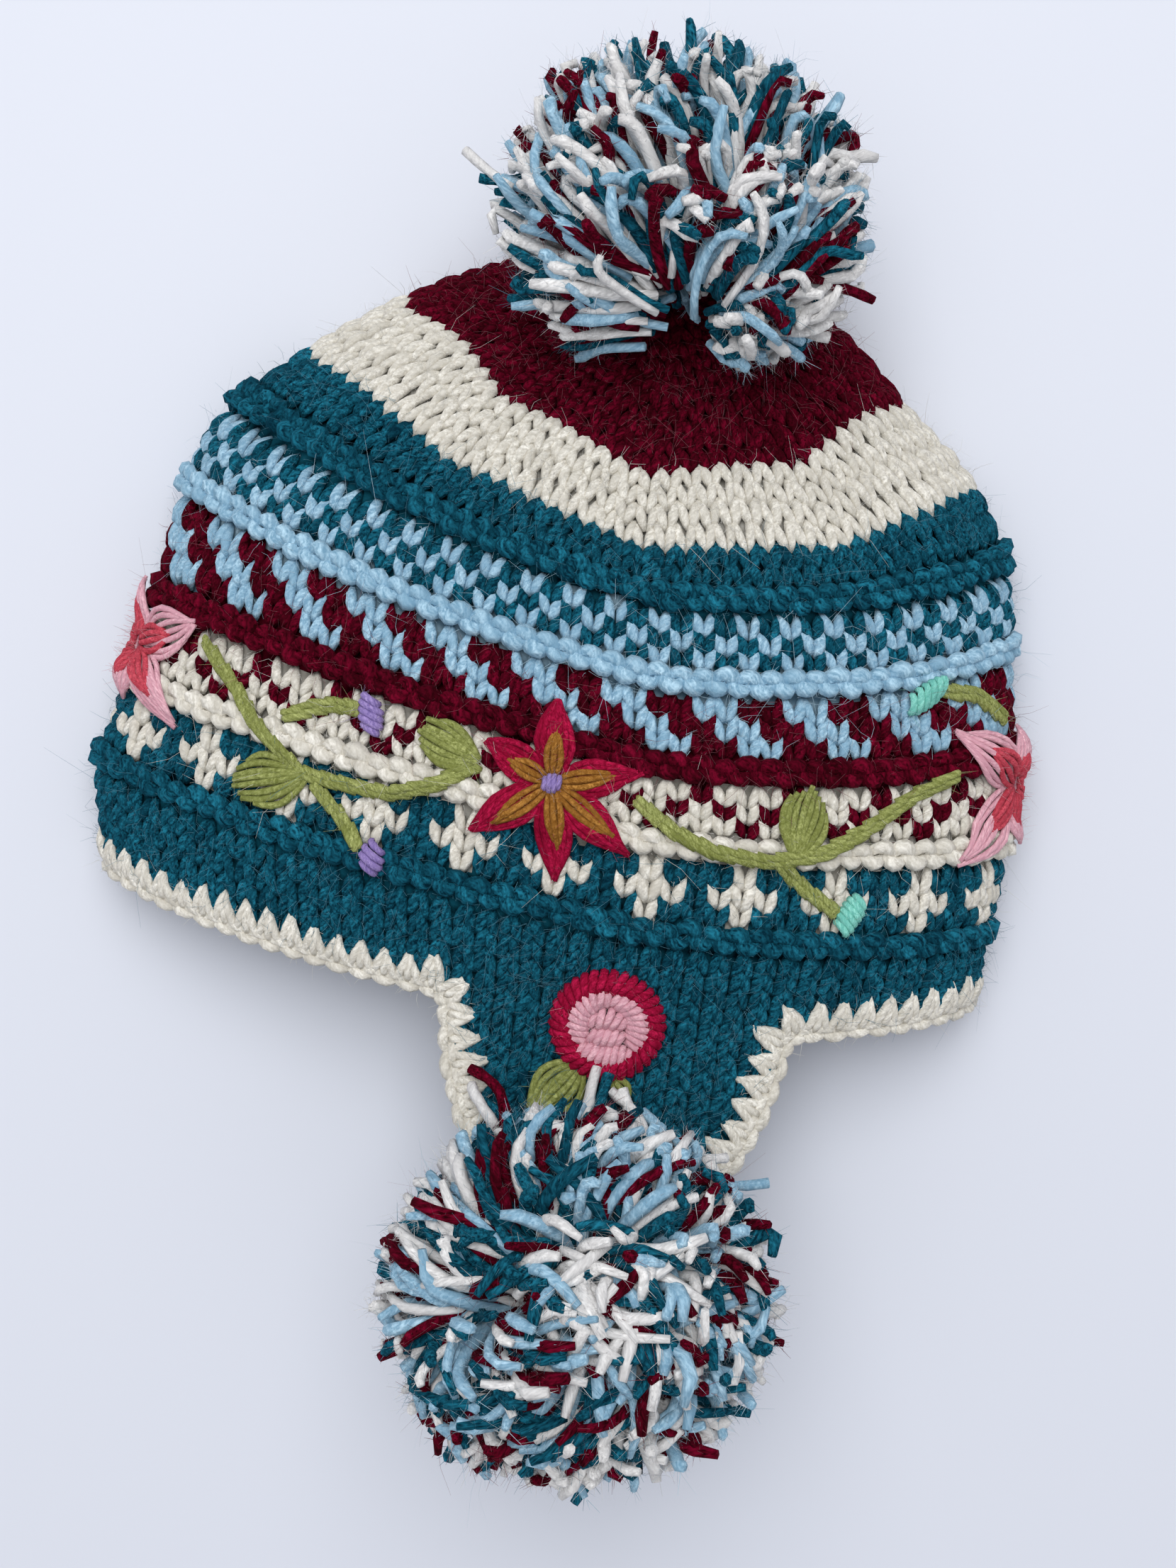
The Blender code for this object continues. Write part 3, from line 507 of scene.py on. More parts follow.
def flap_points(near, across, depth):
    """Points of a flap's outer side."""
    across, depth = np.broadcast_arrays(np.asarray(across, float), np.asarray(depth, float))
    shape = across.shape
    across, depth = across.ravel(), np.maximum(depth.ravel(), 0.0)
    on_side = near_points if near else far_points
    x = FLAP_X + across
    share = across / flap_half(depth)
    root = on_side(RIM, FLAP_X + share * FLAP_WIDTH / 2)
    root_in = on_side(RIM_IN, root[:, 0])
    straight = on_side(RIM, x)
    middle = on_side(RIM, np.array([FLAP_X]))[0]
    t = depth / FLAP_LENGTH
    y = straight[:, 1] - depth + (middle[1] - straight[:, 1]) * t
    z = np.zeros_like(y)
    if near:
        slope = (root[:, 2] - root_in[:, 2]) / (root_in[:, 1] - root[:, 1]) * FLAP_LENGTH
        z = (straight[:, 2] * (2 * t ** 3 - 3 * t ** 2 + 1) + slope * (t ** 3 - 2 * t ** 2 + t)
             + (middle[2] + FLAP_LIFT) * (3 * t ** 2 - 2 * t ** 3))
    return np.stack([x, y, z], -1).reshape(*shape, 3)


def on_flap(near, across, depth, height):
    """Points and normals at a height over a flap, or over the body above the rim."""
    across, depth, height = np.broadcast_arrays(across, depth, height)
    step = 0.0004
    here = flap_points(near, across, depth)
    side = flap_points(near, across + step, depth) - here
    down = flap_points(near, across, depth + step) - here
    normal = unit(np.cross(down, side)) * (1 if near else -1)
    if near:
        above = on_side_of_body(here[..., 0], np.maximum(-depth, 0.0) / NEAR_ARC)
        here = np.where((depth < 0)[..., None], above[0], here)
        normal = np.where((depth < 0)[..., None], above[1], normal)
    sunk = 0.0 if near else LEG_RADIUS
    point = here + normal * (height - sunk)[..., None]
    point[..., 2] = np.maximum(point[..., 2], LOWEST)
    return point, normal


def on_side_of_body(x, v):
    """Points and normals of the body's near side at given x and v, near its middle."""
    u = (x - RIM["near_x"]) / girths[0]
    for _ in range(4):
        point, _ = on_hat(u, v, np.zeros_like(x))
        u = u + (x - point[..., 0]) / girth(v)
    return on_hat(u, v, np.zeros_like(x))


# Yarn: many tubes at once, kept as arrays until a piece is finished.

class Pile:
    """Strands of yarn that become one mesh with one material for each colour."""

    def __init__(self, name, seed):
        self.name = name
        self.chance = np.random.default_rng(seed)
        self.batches = []

    def add(self, paths, radii, up, colours, sides=6, wide=1.0, high=1.0, pitch=9 * MM,
            tone=0.0, rough=0.06):
        """Add tubes along paths (n, k, 3) with radii (n, k), their flat side facing up."""
        n, k = paths.shape[:2]
        radii = np.broadcast_to(radii, (n, k))
        paths = np.array(paths)
        paths[..., 2] = np.maximum(paths[..., 2], 0.8 * radii)
        up = np.broadcast_to(up, paths.shape)
        along = unit(np.gradient(paths, axis=1))
        side = unit(np.cross(along, up))
        over = np.cross(side, along)
        angle = np.arange(sides) / sides * TURN
        ring = (side[:, :, None] * (np.cos(angle) * wide)[:, None]
                + over[:, :, None] * (np.sin(angle) * high)[:, None])
        lumps = 1 + self.chance.normal(0, rough, (n, k, sides, 1))
        verts = paths[:, :, None] + ring * radii[:, :, None, None] * lumps
        verts[..., 2] = np.maximum(verts[..., 2], 0.02 * MM)
        run = run_along(paths)[:, :, None]
        turned = angle[None, None] + run * TURN / pitch
        start = self.chance.uniform(0, 400, (n, 1, 1))
        places = np.stack([np.broadcast_to(run / MM + start, turned.shape),
                           np.cos(turned), np.sin(turned)], -1)
        tones = np.clip(self.chance.normal(tone, 0.2, n), -0.6, 0.6)
        self.batches.append((verts, places, tones, np.asarray(colours)))

    def hairs(self, starts, ways, normals, lengths, colours, width=0.05 * MM, points=3):
        """Add fine loose fibres as thin curled ribbons, paler than their yarn as painted highlight.
        """
        n = len(starts)
        t = np.linspace(0, 1, points)[None, :, None]
        reach = lengths[:, None, None]
        bend = self.chance.normal(0, 0.5, (n, 1, 3)) * reach
        paths = (starts[:, None] + ways[:, None] * reach * t
                 + bend * t ** 2 + normals[:, None] * (reach * 0.5 * t * (1 - t)))
        paths[..., 2] = np.maximum(paths[..., 2], 0.2 * MM)
        # painted highlight: the hairs take the paler fuzz wool and a lighter tone
        fuzz = np.char.add(np.broadcast_to(np.asarray(colours), n), " fuzz")
        self.add(paths, width * (1.1 - 0.7 * t[..., 0]), normals[:, None], fuzz, sides=2,
                 pitch=40 * MM, tone=0.3)

    def build(self):
        """Make the piece's mesh from its arrays. A strand of two sides is a flat ribbon."""
        names = sorted({colour for batch in self.batches for colour in batch[3]})
        verts, places, strands, loops, totals, indices = [], [], [], [], [], []
        offset = 0
        for points, yarn, tones, colours in self.batches:
            n, k, sides = points.shape[:3]
            number = offset + np.arange(n * k * sides).reshape(n, k, sides)
            look = np.searchsorted(names, np.broadcast_to(colours, n))
            if sides > 2:
                loops.append(np.stack([number[:, 0], number[:, -1, ::-1]], 1).ravel())
                totals.append(np.full(2 * n, sides))
                indices.append(np.repeat(look, 2))
            after = np.roll(number, -1, axis=2)
            if sides == 2:
                number, after = number[..., :1], after[..., :1]
            quads = np.stack([number[:, :-1], number[:, 1:], after[:, 1:], after[:, :-1]], -1)
            loops.append(quads.ravel())
            totals.append(np.full(quads.size // 4, 4))
            indices.append(np.repeat(look, quads.size // 4 // n))
            verts.append(points.reshape(-1, 3))
            places.append(yarn.reshape(-1, 3))
            strands.append(np.repeat(tones, k * sides)[:, None] * (1.0, 0.0, 0.0))
            offset += n * k * sides
        verts, places, strands = map(np.concatenate, (verts, places, strands))
        loops, totals, indices = map(np.concatenate, (loops, totals, indices))
        mesh = bpy.data.meshes.new(self.name)
        mesh.vertices.add(len(verts))
        mesh.vertices.foreach_set("co", verts.astype(np.float32).ravel())
        mesh.loops.add(len(loops))
        mesh.loops.foreach_set("vertex_index", loops.astype(np.int32))
        mesh.polygons.add(len(totals))
        mesh.polygons.foreach_set("loop_start", (np.cumsum(totals) - totals).astype(np.int32))
        mesh.polygons.foreach_set("material_index", indices.astype(np.int32))
        mesh.update(calc_edges=True)
        return make_piece(mesh, names, {"yarn": places, "strand": strands})


# Stitches.

def leg_shape(side, jitter):
    """A stitch's leg in shares of its column, its row and its yarn, and its thickness."""
    t = np.linspace(0, 1, 6)[None]
    across = side * (0.075 + 0.415 * t ** 0.85) + jitter[:, :1] * 0.022
    along = -0.30 + 1.62 * t + jitter[:, 1:2] * 0.045
    rise = np.where(t < 0.35, -0.9 * (1 - t / 0.35) ** 2,
                    -1.5 * np.clip(t / 0.65 - 0.54, 0, 1) ** 1.5)
    radius = np.array([0.50, 0.86, 1.02, 1.02, 0.82, 0.38])[None] * (1 + jitter[:, 3:4] * 0.07)
    return across, along, 0.25 + rise + jitter[:, 2:3] * 0.07, radius


def knit(pile, place, column, row, width, height, colours, size=1.0):
    """Lay one row of stitches; place(across, along, height) gives the points."""
    width = np.reshape(width, (-1, 1))
    for side in (-1, 1):
        jitter = pile.chance.normal(0, 1, (len(column), 4))
        across, along, lift, radius = leg_shape(side, jitter)
        points, normals = place(column[:, None] + across * width, row + along * height,
                                lift * LEG_RADIUS * size)
        below = normals[:, 2, 2] < -0.5
        for part, sides in ((~below, 6), (below, 4)):
            if part.any():
                pile.add(points[part], radius[part] * LEG_RADIUS * size, normals[part],
                         colours[part], sides=sides, high=0.92)


def columns_at(v_mid, crown):
    """Middle places and width of the columns of one row, as shares of the way round."""
    per_sector = ROUND // SECTORS
    if crown:
        share = girth(v_mid) / girth(CROWN_START * MM / NEAR_ARC)
        per_sector = max(int(round(per_sector * share)), 1)
    count = per_sector * SECTORS
    return (FIRST_CORNER / ROUND + (np.arange(count) + 0.5) / count) % 1.0, 1.0 / count


def knit_body_rows():
    """All the rows of the body, from the rim to the crown."""
    lower, upper, ridges = [Pile(name, seed) for name, seed in (
        ("knit_rows_lower", 1), ("knit_rows_upper", 2), ("purl_ridges", 3))]
    for kind, start, end, chart in BANDS:
        crown = start >= CROWN_START
        step = (end - start) / len(chart) * MM
        for r, letters in enumerate(chart):
            bottom = start * MM + r * step
            u, width = columns_at((bottom + step / 2) / NEAR_ARC, crown)
            colours = np.array([LETTERS[letters[column % 4]]
                                for column in np.floor(u * ROUND).astype(int)])
            if kind == "purl":
                purl_ridge(ridges, u, width, bottom, step, colours)
                continue
            size = 1.0
            if crown:
                size = float(np.clip(girth(bottom / NEAR_ARC) * width / FULL_COLUMN, 0.5, 1.05))
            knit(lower if start < UPPER_START else upper, on_rows, u, bottom, width, step,
                 colours, size)
    return lower, upper, ridges


def purl_ridge(pile, u, width, bottom, height, colours):
    """A ridge of purl stitches: frowning bumps over smiling ones, half a column apart."""
    t = np.linspace(-1, 1, 7)[None]
    arch = 1 - t ** 2
    for turn, shift in ((1, 0.0), (-1, 0.5)):
        jitter = pile.chance.normal(0, 1, (len(u), 3))
        across = u[:, None] + (0.60 * t + shift) * width
        along = bottom + height * (0.52 + turn * (-0.10 + 0.31 * arch) - 0.06 * t
                                   + 0.03 * jitter[:, :1])
        lift = (-1.0 + 1.9 * np.sqrt(arch) + 0.14 * jitter[:, 1:2]) * PURL_RADIUS
        points, normals = on_rows(across, along, lift)
        radius = PURL_RADIUS * (0.58 + 0.47 * arch) * (1 + 0.07 * jitter[:, 2:3])
        pile.add(points, radius, normals, colours)


def knit_flap(near):
    """The rows of one ear flap, carrying on the body's columns."""
    pile = Pile("ear_flap_near_rows" if near else "ear_flap_far_rows", 4 if near else 5)
    rim, _ = on_hat((np.arange(ROUND) + 0.5) / ROUND, 0.0, 0.0)
    wanted = np.abs(rim[:, 0] - FLAP_X) < FLAP_WIDTH / 2 + FLAP_FILLET
    low = rim[:, 2] < FOLD_HEIGHT
    x = np.sort(rim[wanted & (low != near), 0] - FLAP_X)
    width = np.gradient(x)
    step = FLAP_LENGTH / FLAP_ROWS

    def place(across, along, height):
        return on_flap(near, across, -along, height)

    for r in range(FLAP_ROWS):
        depth = (r + 0.95) * step
        keep = np.abs(x) < flap_half(depth - step * 0.5)[0] - 1.4 * MM
        if keep.any():
            knit(pile, place, x[keep], -depth, width[keep], step, np.full(keep.sum(), "teal"))
    depth = pile.chance.uniform(0, 0.97, FLAP_HAIRS) * FLAP_LENGTH
    across = pile.chance.uniform(-1, 1, FLAP_HAIRS) * (flap_half(depth) - 2 * MM)
    starts, normals = on_flap(near, across, depth, LEG_RADIUS)
    ways = unit(pile.chance.normal(0, 1, starts.shape) * [1, 1, 0.3] + normals * 0.3)
    pile.hairs(starts, ways, normals, pile.chance.uniform(1.5, 6, FLAP_HAIRS) * MM, "teal")
    return pile


def fuzz_body():
    """Loose fibres all over the body, each of its own stitch's colour made paler as painted
    highlight.
    """
    pile = Pile("knit_fuzz", 7)
    u = pile.chance.uniform(0, 1, BODY_HAIRS)
    v = pile.chance.uniform(0, 0.93, BODY_HAIRS)
    kept = pile.chance.uniform(0, girths.max(), BODY_HAIRS) < girth(v)
    u, v = u[kept], v[kept]
    starts, normals = on_hat(u, v, pile.chance.uniform(0.4, 1.5, len(u)) * LEG_RADIUS)
    ways = pile.chance.normal(0, 1, starts.shape)
    ways = unit(ways - normals * (ways * normals).sum(1, keepdims=True) * 0.8 + normals * 0.25)
    lengths = np.clip(pile.chance.gamma(2.2, 1.5, len(u)), 1.2, 10.0) * MM
    pile.hairs(starts, ways, normals, lengths, row_colours(u, v))
    return pile


# Core sheets under the stitches, their outer face darkened as painted shade between the stitches,
# with the knitting's plain back inside.

def sheet_mesh(name, outer, inner, places, colours, closed):
    """A closed sheet from grids of outer and inner points; closed joins its last column."""
    rows, columns = outer.shape[:2]
    number = np.arange(2 * rows * columns).reshape(2, rows, columns)
    if closed:
        number = np.concatenate([number, number[:, :, :1]], axis=2)
    top, under = number
    # the outer faces take the wool's gap material, darkened as painted shade between the stitches
    names, gap = np.unique(colours, return_inverse=True)
    gap = 2 * gap.reshape(colours.shape)
    back = gap + 1
    strips = [(top[:-1, :-1], top[:-1, 1:], top[1:, 1:], top[1:, :-1], gap),
              (under[:-1, :-1], under[1:, :-1], under[1:, 1:], under[:-1, 1:], back),
              (top[0, 1:], top[0, :-1], under[0, :-1], under[0, 1:], back[0]),
              (top[-1, :-1], top[-1, 1:], under[-1, 1:], under[-1, :-1], back[-1])]
    if not closed:
        strips += [(top[:-1, 0], top[1:, 0], under[1:, 0], under[:-1, 0], back[:, 0]),
                   (top[1:, -1], top[:-1, -1], under[:-1, -1], under[1:, -1], back[:, -1])]
    faces = np.concatenate([np.stack(corners, -1).reshape(-1, 4) for *corners, _ in strips])
    mesh = bpy.data.meshes.new(name)
    mesh.from_pydata(np.concatenate([outer.reshape(-1, 3), inner.reshape(-1, 3)]).tolist(), [],
                     faces.tolist())
    looks = np.concatenate([look.ravel() for *_, look in strips])
    mesh.polygons.foreach_set("material_index", looks.astype(np.int32))
    return make_piece(mesh, [colour + kind for colour in names for kind in (" gap", " back")],
                      {"yarn": np.tile(places.reshape(-1, 3), (2, 1))})


def body_core():
    """The body's core: a pouch a little under the stitches, drawn in at the crown."""
    u = np.arange(2 * ROUND) / (2 * ROUND)
    v = np.concatenate([np.linspace(0.0, 0.94, 44), [0.96, 0.975, 0.985]])
    uu, vv = np.meshgrid(u, v)
    outer, normal = on_hat(uu, vv, -TUCK)
    inner, _ = on_hat(uu, vv, 0.3 * MM - WALL)
    low = normal[..., 2] < -0.3
    inner[..., 2] = np.where(low, np.maximum(inner[..., 2], WALL - 0.4 * MM), inner[..., 2])
    places = np.stack([uu * ROUND, vv * NEAR_ARC / (5.1 * MM), 0 * uu], -1)
    colours = row_colours(uu[:-1] + 1e-6, (vv[:-1] + vv[1:]) / 2)
    return sheet_mesh("knit_body_core", outer, inner, places, colours, closed=True)


def flap_core(near):
    """A flap's core sheet."""
    shares = np.linspace(-1, 1, 25)
    depths = np.linspace(0.4 * MM, FLAP_LENGTH - 0.3 * MM, 34)
    ss, dd = np.meshgrid(shares, depths)
    across = ss * (flap_half(dd.ravel()).reshape(dd.shape) - 0.3 * MM)
    outer, _ = on_flap(near, across, dd, -TUCK)
    inner, _ = on_flap(near, across, dd, -WALL + 0.3 * MM + (0.0 if near else LEG_RADIUS))
    places = np.stack([across / (6.2 * MM), dd / (5.0 * MM), 0 * dd], -1)
    if near:
        outer, inner, places = outer[:, ::-1], inner[:, ::-1], places[:, ::-1]
    colours = np.full((len(depths) - 1, len(shares) - 1), "teal")
    return sheet_mesh("ear_flap_%s_core" % ("near" if near else "far"), outer, inner, places,
                      colours, closed=False)


# Crochet edging.

def rim_part(u_from, u_to, count):
    """Points along a part of the rim, with the normal and the way into the fabric."""
    u = np.linspace(u_from, u_to, count)
    point, normal = on_hat(u, 0.0, 0.0)
    ahead, _ = on_hat(u, 0.01, 0.0)
    return point, normal, unit(ahead - point)


def flap_part(near, sign):
    """The same along a flap's edge, from the side of the sign round its tip."""
    depth = np.linspace(0.4 * MM, FLAP_LENGTH * 0.97, 40)
    side = sign * flap_half(depth)
    tip = np.linspace(side[-1], -side[-1], 7)[1:-1]
    across = np.concatenate([side, tip, -side[::-1]])
    depth = np.concatenate([depth, np.full(len(tip), FLAP_LENGTH), depth[::-1]])
    point, normal = on_flap(near, across, depth, 0.0)
    if not near:
        point[..., 2] = 0.0
    return point, normal, unit(np.cross(normal, unit(np.gradient(point, axis=0))))


def edge_line():
    """Points round the whole open edge, with the normal and the way into the fabric."""
    left, right = [FLAP_X + sign * (FLAP_WIDTH / 2 + FLAP_FILLET) for sign in (-1, 1)]
    rim = np.linspace(0, 1, 4001)
    points, _ = on_hat(rim, 0.0, 0.0)
    is_low = points[:, 2] < 0.5 * FOLD_HEIGHT

    def u_at(x, low):
        wrong = np.where(is_low == low, 0.0, 1.0)
        return rim[np.argmin(np.abs(points[:, 0] - x) + wrong)]

    parts = (rim_part(u_at(right, False), u_at(right, True), 120), flap_part(False, 1.0),
             rim_part(u_at(left, True), u_at(left, False), 160), flap_part(True, -1.0))
    closed = [np.concatenate([*values, values[0][:1]]) for values in zip(*parts)]
    run = run_along(closed[0])
    even = np.arange(0, run[-1], 0.5 * MM)
    point, normal, inward = [at_runs(even, run, values) for values in closed]
    return point, unit(normal), unit(inward), run[-1]


def edging():
    """Crochet edging: a braided chain beside the edge, with spikes over the fabric."""
    pile = Pile("crochet_edging_yarn", 6)
    point, normal, inward, total = edge_line()
    count = len(point)

    def at(run, aside, height):
        """Points beside the edge: outward aside, over the wall's outer face."""
        run, aside, height = np.broadcast_arrays(run, aside, height)
        k = (run / total * count) % count
        i = k.astype(int) % count
        f = (k - np.floor(k))[..., None]
        p, n, w = [values[i] * (1 - f) + values[(i + 1) % count] * f
                   for values in (point, normal, inward)]
        place = p - unit(w) * aside[..., None] + unit(n) * height[..., None]
        place[..., 2] = np.maximum(place[..., 2], EDGE_LOWEST)
        return place, unit(n)

    stitches = int(round(total / EDGE_STITCH))
    cream = np.full(stitches, "cream")
    step = total / stitches
    start = np.arange(stitches)[:, None] * step
    centre = EDGE_RADIUS + 2 * GAP
    t = np.linspace(0, 1, 8)[None]
    arch = np.sin(math.pi * t)
    for phase, side in ((0.0, 1), (0.5, -1)):
        aside = centre + side * (-0.8 + 1.9 * arch) * 1.2 * MM
        jitter = pile.chance.normal(0, 0.15 * MM, (stitches, 1))
        path, up = at(start + (t * 1.5 + phase - 0.3) * step, aside + jitter,
                      (-2.2 + 2.4 * arch) * MM)
        pile.add(path, CHAIN_RADIUS * (0.65 + 0.4 * arch), up, cream)
    path, up = at(start + t * step * 1.2, centre, -3.2 * MM)
    pile.add(path, CHAIN_RADIUS, up, cream)
    reach = pile.chance.uniform(0.80, 1.15, (stitches, 1))
    for lean in (-0.46, 0.0, 0.44):
        depth = SPIKE_DEPTH * (1.0 if lean else 0.8) + SPIKE_START
        path, up = at(start + (0.5 + lean * (1 - t) ** 1.2) * step,
                      SPIKE_START - depth * t * reach,
                      (-1.0 + 2.4 * np.sin(math.pi * (0.12 + 0.76 * t))) * MM)
        pile.add(path, SPIKE_RADIUS * (1.0 - 0.4 * t ** 3), up, cream)
    run = pile.chance.uniform(0, total, EDGE_HAIRS)
    starts, up = at(run, pile.chance.uniform(-5, 6, EDGE_HAIRS) * MM, 1.2 * MM)
    pile.hairs(starts, unit(pile.chance.normal(0, 1, starts.shape)), up,
               pile.chance.uniform(1, 4, EDGE_HAIRS) * MM, "cream")
    return pile


# Embroidery: places on the body are girth and length from the rim in mm, and on the near
# flap across and up in mm.

def on_body(places, lift):
    """Points and normals over the body, higher where the strands cross a purl ridge."""
    along = places[..., 1] * MM
    u = places[..., 0] * MM / girth(along / NEAR_ARC)
    row = (along - row_shift(u, along)) / MM
    for kind, start, end, _ in BANDS:
        if kind == "purl":
            away = np.abs(row - (start + end) / 2) / (1.5 * (end - start) / 2)
            lift = lift + PURL_RISE * MM * np.cos(math.pi / 2 * np.clip(away, 0, 1)) ** 1.2
    return on_hat(u, along / NEAR_ARC, lift)


def on_near_flap(places, lift):
    """Points and normals over the near flap and the body above it."""
    return on_flap(True, places[..., 0] * MM, -places[..., 1] * MM, lift)


def sew(pile, lay, tracks, lift, radius, colour):
    """Sew strands along tracks (n, k, 2), with lifts and radii in mm."""
    points, normals = lay(tracks, np.broadcast_to(lift, tracks.shape[:2]) * MM)
    pile.add(points, np.asarray(radius) * MM, normals, np.full(len(tracks), colour),
             wide=1.05, high=0.9, pitch=7 * MM)
    which = np.repeat(np.arange(len(tracks)), SEWN_HAIRS)
    spot = pile.chance.integers(0, tracks.shape[1], len(which))
    facing_way = normals[which, spot]
    outward = unit(facing_way * 0.8 + pile.chance.normal(0, 0.7, (len(which), 3)))
    pile.hairs(points[which, spot] + outward * 0.6 * MM, outward, facing_way,
               pile.chance.uniform(1.0, 3.5, len(which)) * MM, colour, points=2)


def petal(pile, lay, base, tip, width, shares, colour, lift=1.7, radius=0.9, root=0.25,
          blunt=0.12, hump=1.3, fan=False):
    """A petal or leaf of satin strands from base to tip, at shares of its half width."""
    t = np.linspace(0, 1, 8)[None]
    base = np.array(base, float)
    run = np.array(tip, float) - base
    side = np.array([-run[1], run[0]]) / np.hypot(*run)
    share = np.array(shares, float)[:, None] + pile.chance.normal(0, 0.04, (len(shares), 1))
    if fan:
        swell = root + (1 - root) * np.sin(math.pi / 2 * np.clip(1.25 * t, 0, 1)) - 0.25 * t ** 4
    else:
        swell = root * (1 - t) + blunt * t + (1 - root / 2) * np.sin(math.pi * t ** 0.9)
    reach = 1 - (0.22 if fan else 0.06) * share ** 2 + pile.chance.normal(0, 0.03, share.shape)
    tracks = (base + run * (t * reach)[..., None]
              + side * (width / 2 * share * swell)[..., None])
    high = lift + hump * np.sin(math.pi * (0.08 + 0.84 * t)) * (1 - 0.4 * share ** 2)
    sew(pile, lay, tracks, high, radius * (0.75 + 0.3 * np.sin(math.pi * t)), colour)


def bullion(pile, lay, path, width, colour, lift, radius, arch=1.7, gap=1.35):
    """A bullion coil: slanted wraps that arch over a path of points in mm."""
    path = np.array(path, float)
    run = run_along(path)
    count = max(int(round(run[-1] / gap)) + 1, 3)
    middle = at_runs(np.linspace(0, run[-1], count), run, path)
    way = unit(np.gradient(middle, axis=0))
    side = np.stack([-way[:, 1], way[:, 0]], -1)
    angle = np.linspace(-0.1, math.pi + 0.1, 8)
    taper = (1 - 0.3 * np.abs(np.linspace(-1, 1, count)) ** 3)[:, None]
    tracks = (middle[:, None] + side[:, None] * (width / 2 * np.cos(angle) * taper)[..., None]
              + way[:, None] * (gap * 0.4 * np.cos(angle))[:, None])
    sew(pile, lay, tracks, lift + arch * taper * np.sin(angle) - 0.5, radius, colour)


def wrap_ring(pile, lay, centre, inner, outer, count, colour, arch):
    """A ring of wraps that arch from its inner edge to its outer edge."""
    angle = np.linspace(0, math.pi, 8)[None]
    turn = np.linspace(0, TURN, count, endpoint=False)[:, None] + 0.10 * np.cos(angle)
    radius = (inner + outer) / 2 - (outer - inner) / 2 * np.cos(angle)
    tracks = np.array(centre) + np.stack([radius * np.cos(turn), radius * np.sin(turn)], -1)
    sew(pile, lay, tracks, 1.1 + arch * np.sin(angle), 1.3, colour)


def outline_stitch(pile, points):
    """A stem on the body, of long slanted stitches that overlap by half."""
    stitch, step = 11.0, 5.5
    points = np.array(points, float)
    run = run_along(points)
    starts = np.arange(-step / 2, max(run[-1] - step, 0) + step / 2, step)
    t = np.linspace(0, 1, 9)[None]
    where = np.clip(starts[:, None] + t * stitch, 0, run[-1])
    behind, tracks, ahead = [at_runs(where + aside, run, points) for aside in (-0.5, 0.0, 0.5)]
    way = unit(ahead - behind)
    side = np.stack([-way[..., 1], way[..., 0]], -1)
    for shift in (-0.75, 0.75):
        slant = (shift + 1.3 * (0.5 - t))[..., None]
        sew(pile, on_body, tracks + side * slant,
            1.1 + 1.2 * np.sin(math.pi * (0.1 + 0.8 * t)), 1.05, "olive")


def polar(centre, radius, degrees):
    """The point at a radius and an angle from a centre."""
    return (centre[0] + radius * math.cos(math.radians(degrees)),
            centre[1] + radius * math.sin(math.radians(degrees)))


# Flowers: their centres in mm, their longest petal, and each petal's angle and share of it.
STAR = ((-25.1, 60.5), 27.8,
        ((-142, 1.00), (-85, 0.92), (-36, 0.96), (16, 0.87), (88, 0.82), (158, 0.74)))
SIDE_LEFT = ((-160.5, 59.0), 28.0,
             ((-150, 0.45), (-98, 0.55), (-35, 0.92), (25, 1.00), (98, 0.50), (150, 0.45)))
SIDE_RIGHT = ((116.6, 62.4), 30.0,
              ((-82, 0.45), (-30, 0.45), (30, 0.42), (84, 0.42), (149, 1.00), (212, 0.96)))
STEMS = {
    "stem_left": ((-131.7, 68), (-121.2, 62.2), (-109.8, 53.6), (-97.4, 45.7), (-84.3, 46.3),
                  (-70.5, 47.5), (-57.4, 53.4), (-46.4, 61.2)),
    "stem_right": ((-1.6, 59.2), (9.1, 52.4), (20.2, 48.3), (34.5, 46.9), (49.1, 49.5),
                   (62.7, 55.7), (76.9, 63.8), (89.7, 67.9)),
    "branch_left_upper": ((-103, 58.8), (-95, 63.5), (-88, 66.2), (-81.3, 66.9)),
    "branch_left_lower": ((-93.4, 43.3), (-86, 38.5), (-77.7, 31.1)),
    "branch_right_upper": ((85.4, 88.4), (98, 85.8), (110.7, 78.2)),
    "branch_right_lower": ((37.4, 46.9), (46, 40.0), (55.9, 33.7)),
}
# Bullion knots: middle, way from there to one end, and colour.
BUDS = {
    "bud_left_upper": ((-77.3, 66.6), (0.0, 3.6), "lilac"),
    "bud_left_lower": ((-73.2, 29.2), (0.6, 3.0), "lilac"),
    "bud_right_upper": ((79.8, 88.2), (4.4, 1.6), "mint"),
    "bud_right_lower": ((60.3, 33.1), (2.2, 3.6), "mint"),
}
# Leaves: base, tip and width.
LEAVES = {
    "leaf_left": ((-95.7, 45.6), (-117.4, 36.0), 14.0),
    "leaf_star": ((-45.8, 62.0), (-62.6, 66.5), 12.5),
    "leaf_right": ((41.8, 48.8), (46.6, 66.5), 14.0),
}
ROSE = (-2.4, -4.0)
# The rose's coils: points from its middle, and the coil's width.
ROSE_COILS = (
    (((-8.0, -5.0), (-8.8, -0.6), (-7.9, 4.0), (-4.8, 7.4), (-1.0, 8.4)), 7.0),
    (((1.4, 8.6), (5.0, 7.6), (8.1, 4.2), (9.0, -0.6), (8.1, -5.0)), 7.0),
    (((-4.2, 1.5), (0.0, 2.3), (4.2, 1.5)), 6.0),
    (((-3.8, -3.4), (3.8, -3.4)), 5.2),
    (((-6.8, -8.2), (0.0, -9.3), (6.8, -8.2)), 6.4),
)


def sewn(node, seed, stitches):
    """Make the sewn piece of one node; stitches(pile) sews it."""
    pile = Pile(node + "_yarn", seed)
    stitches(pile)
    stand_for(pile.build(), node)


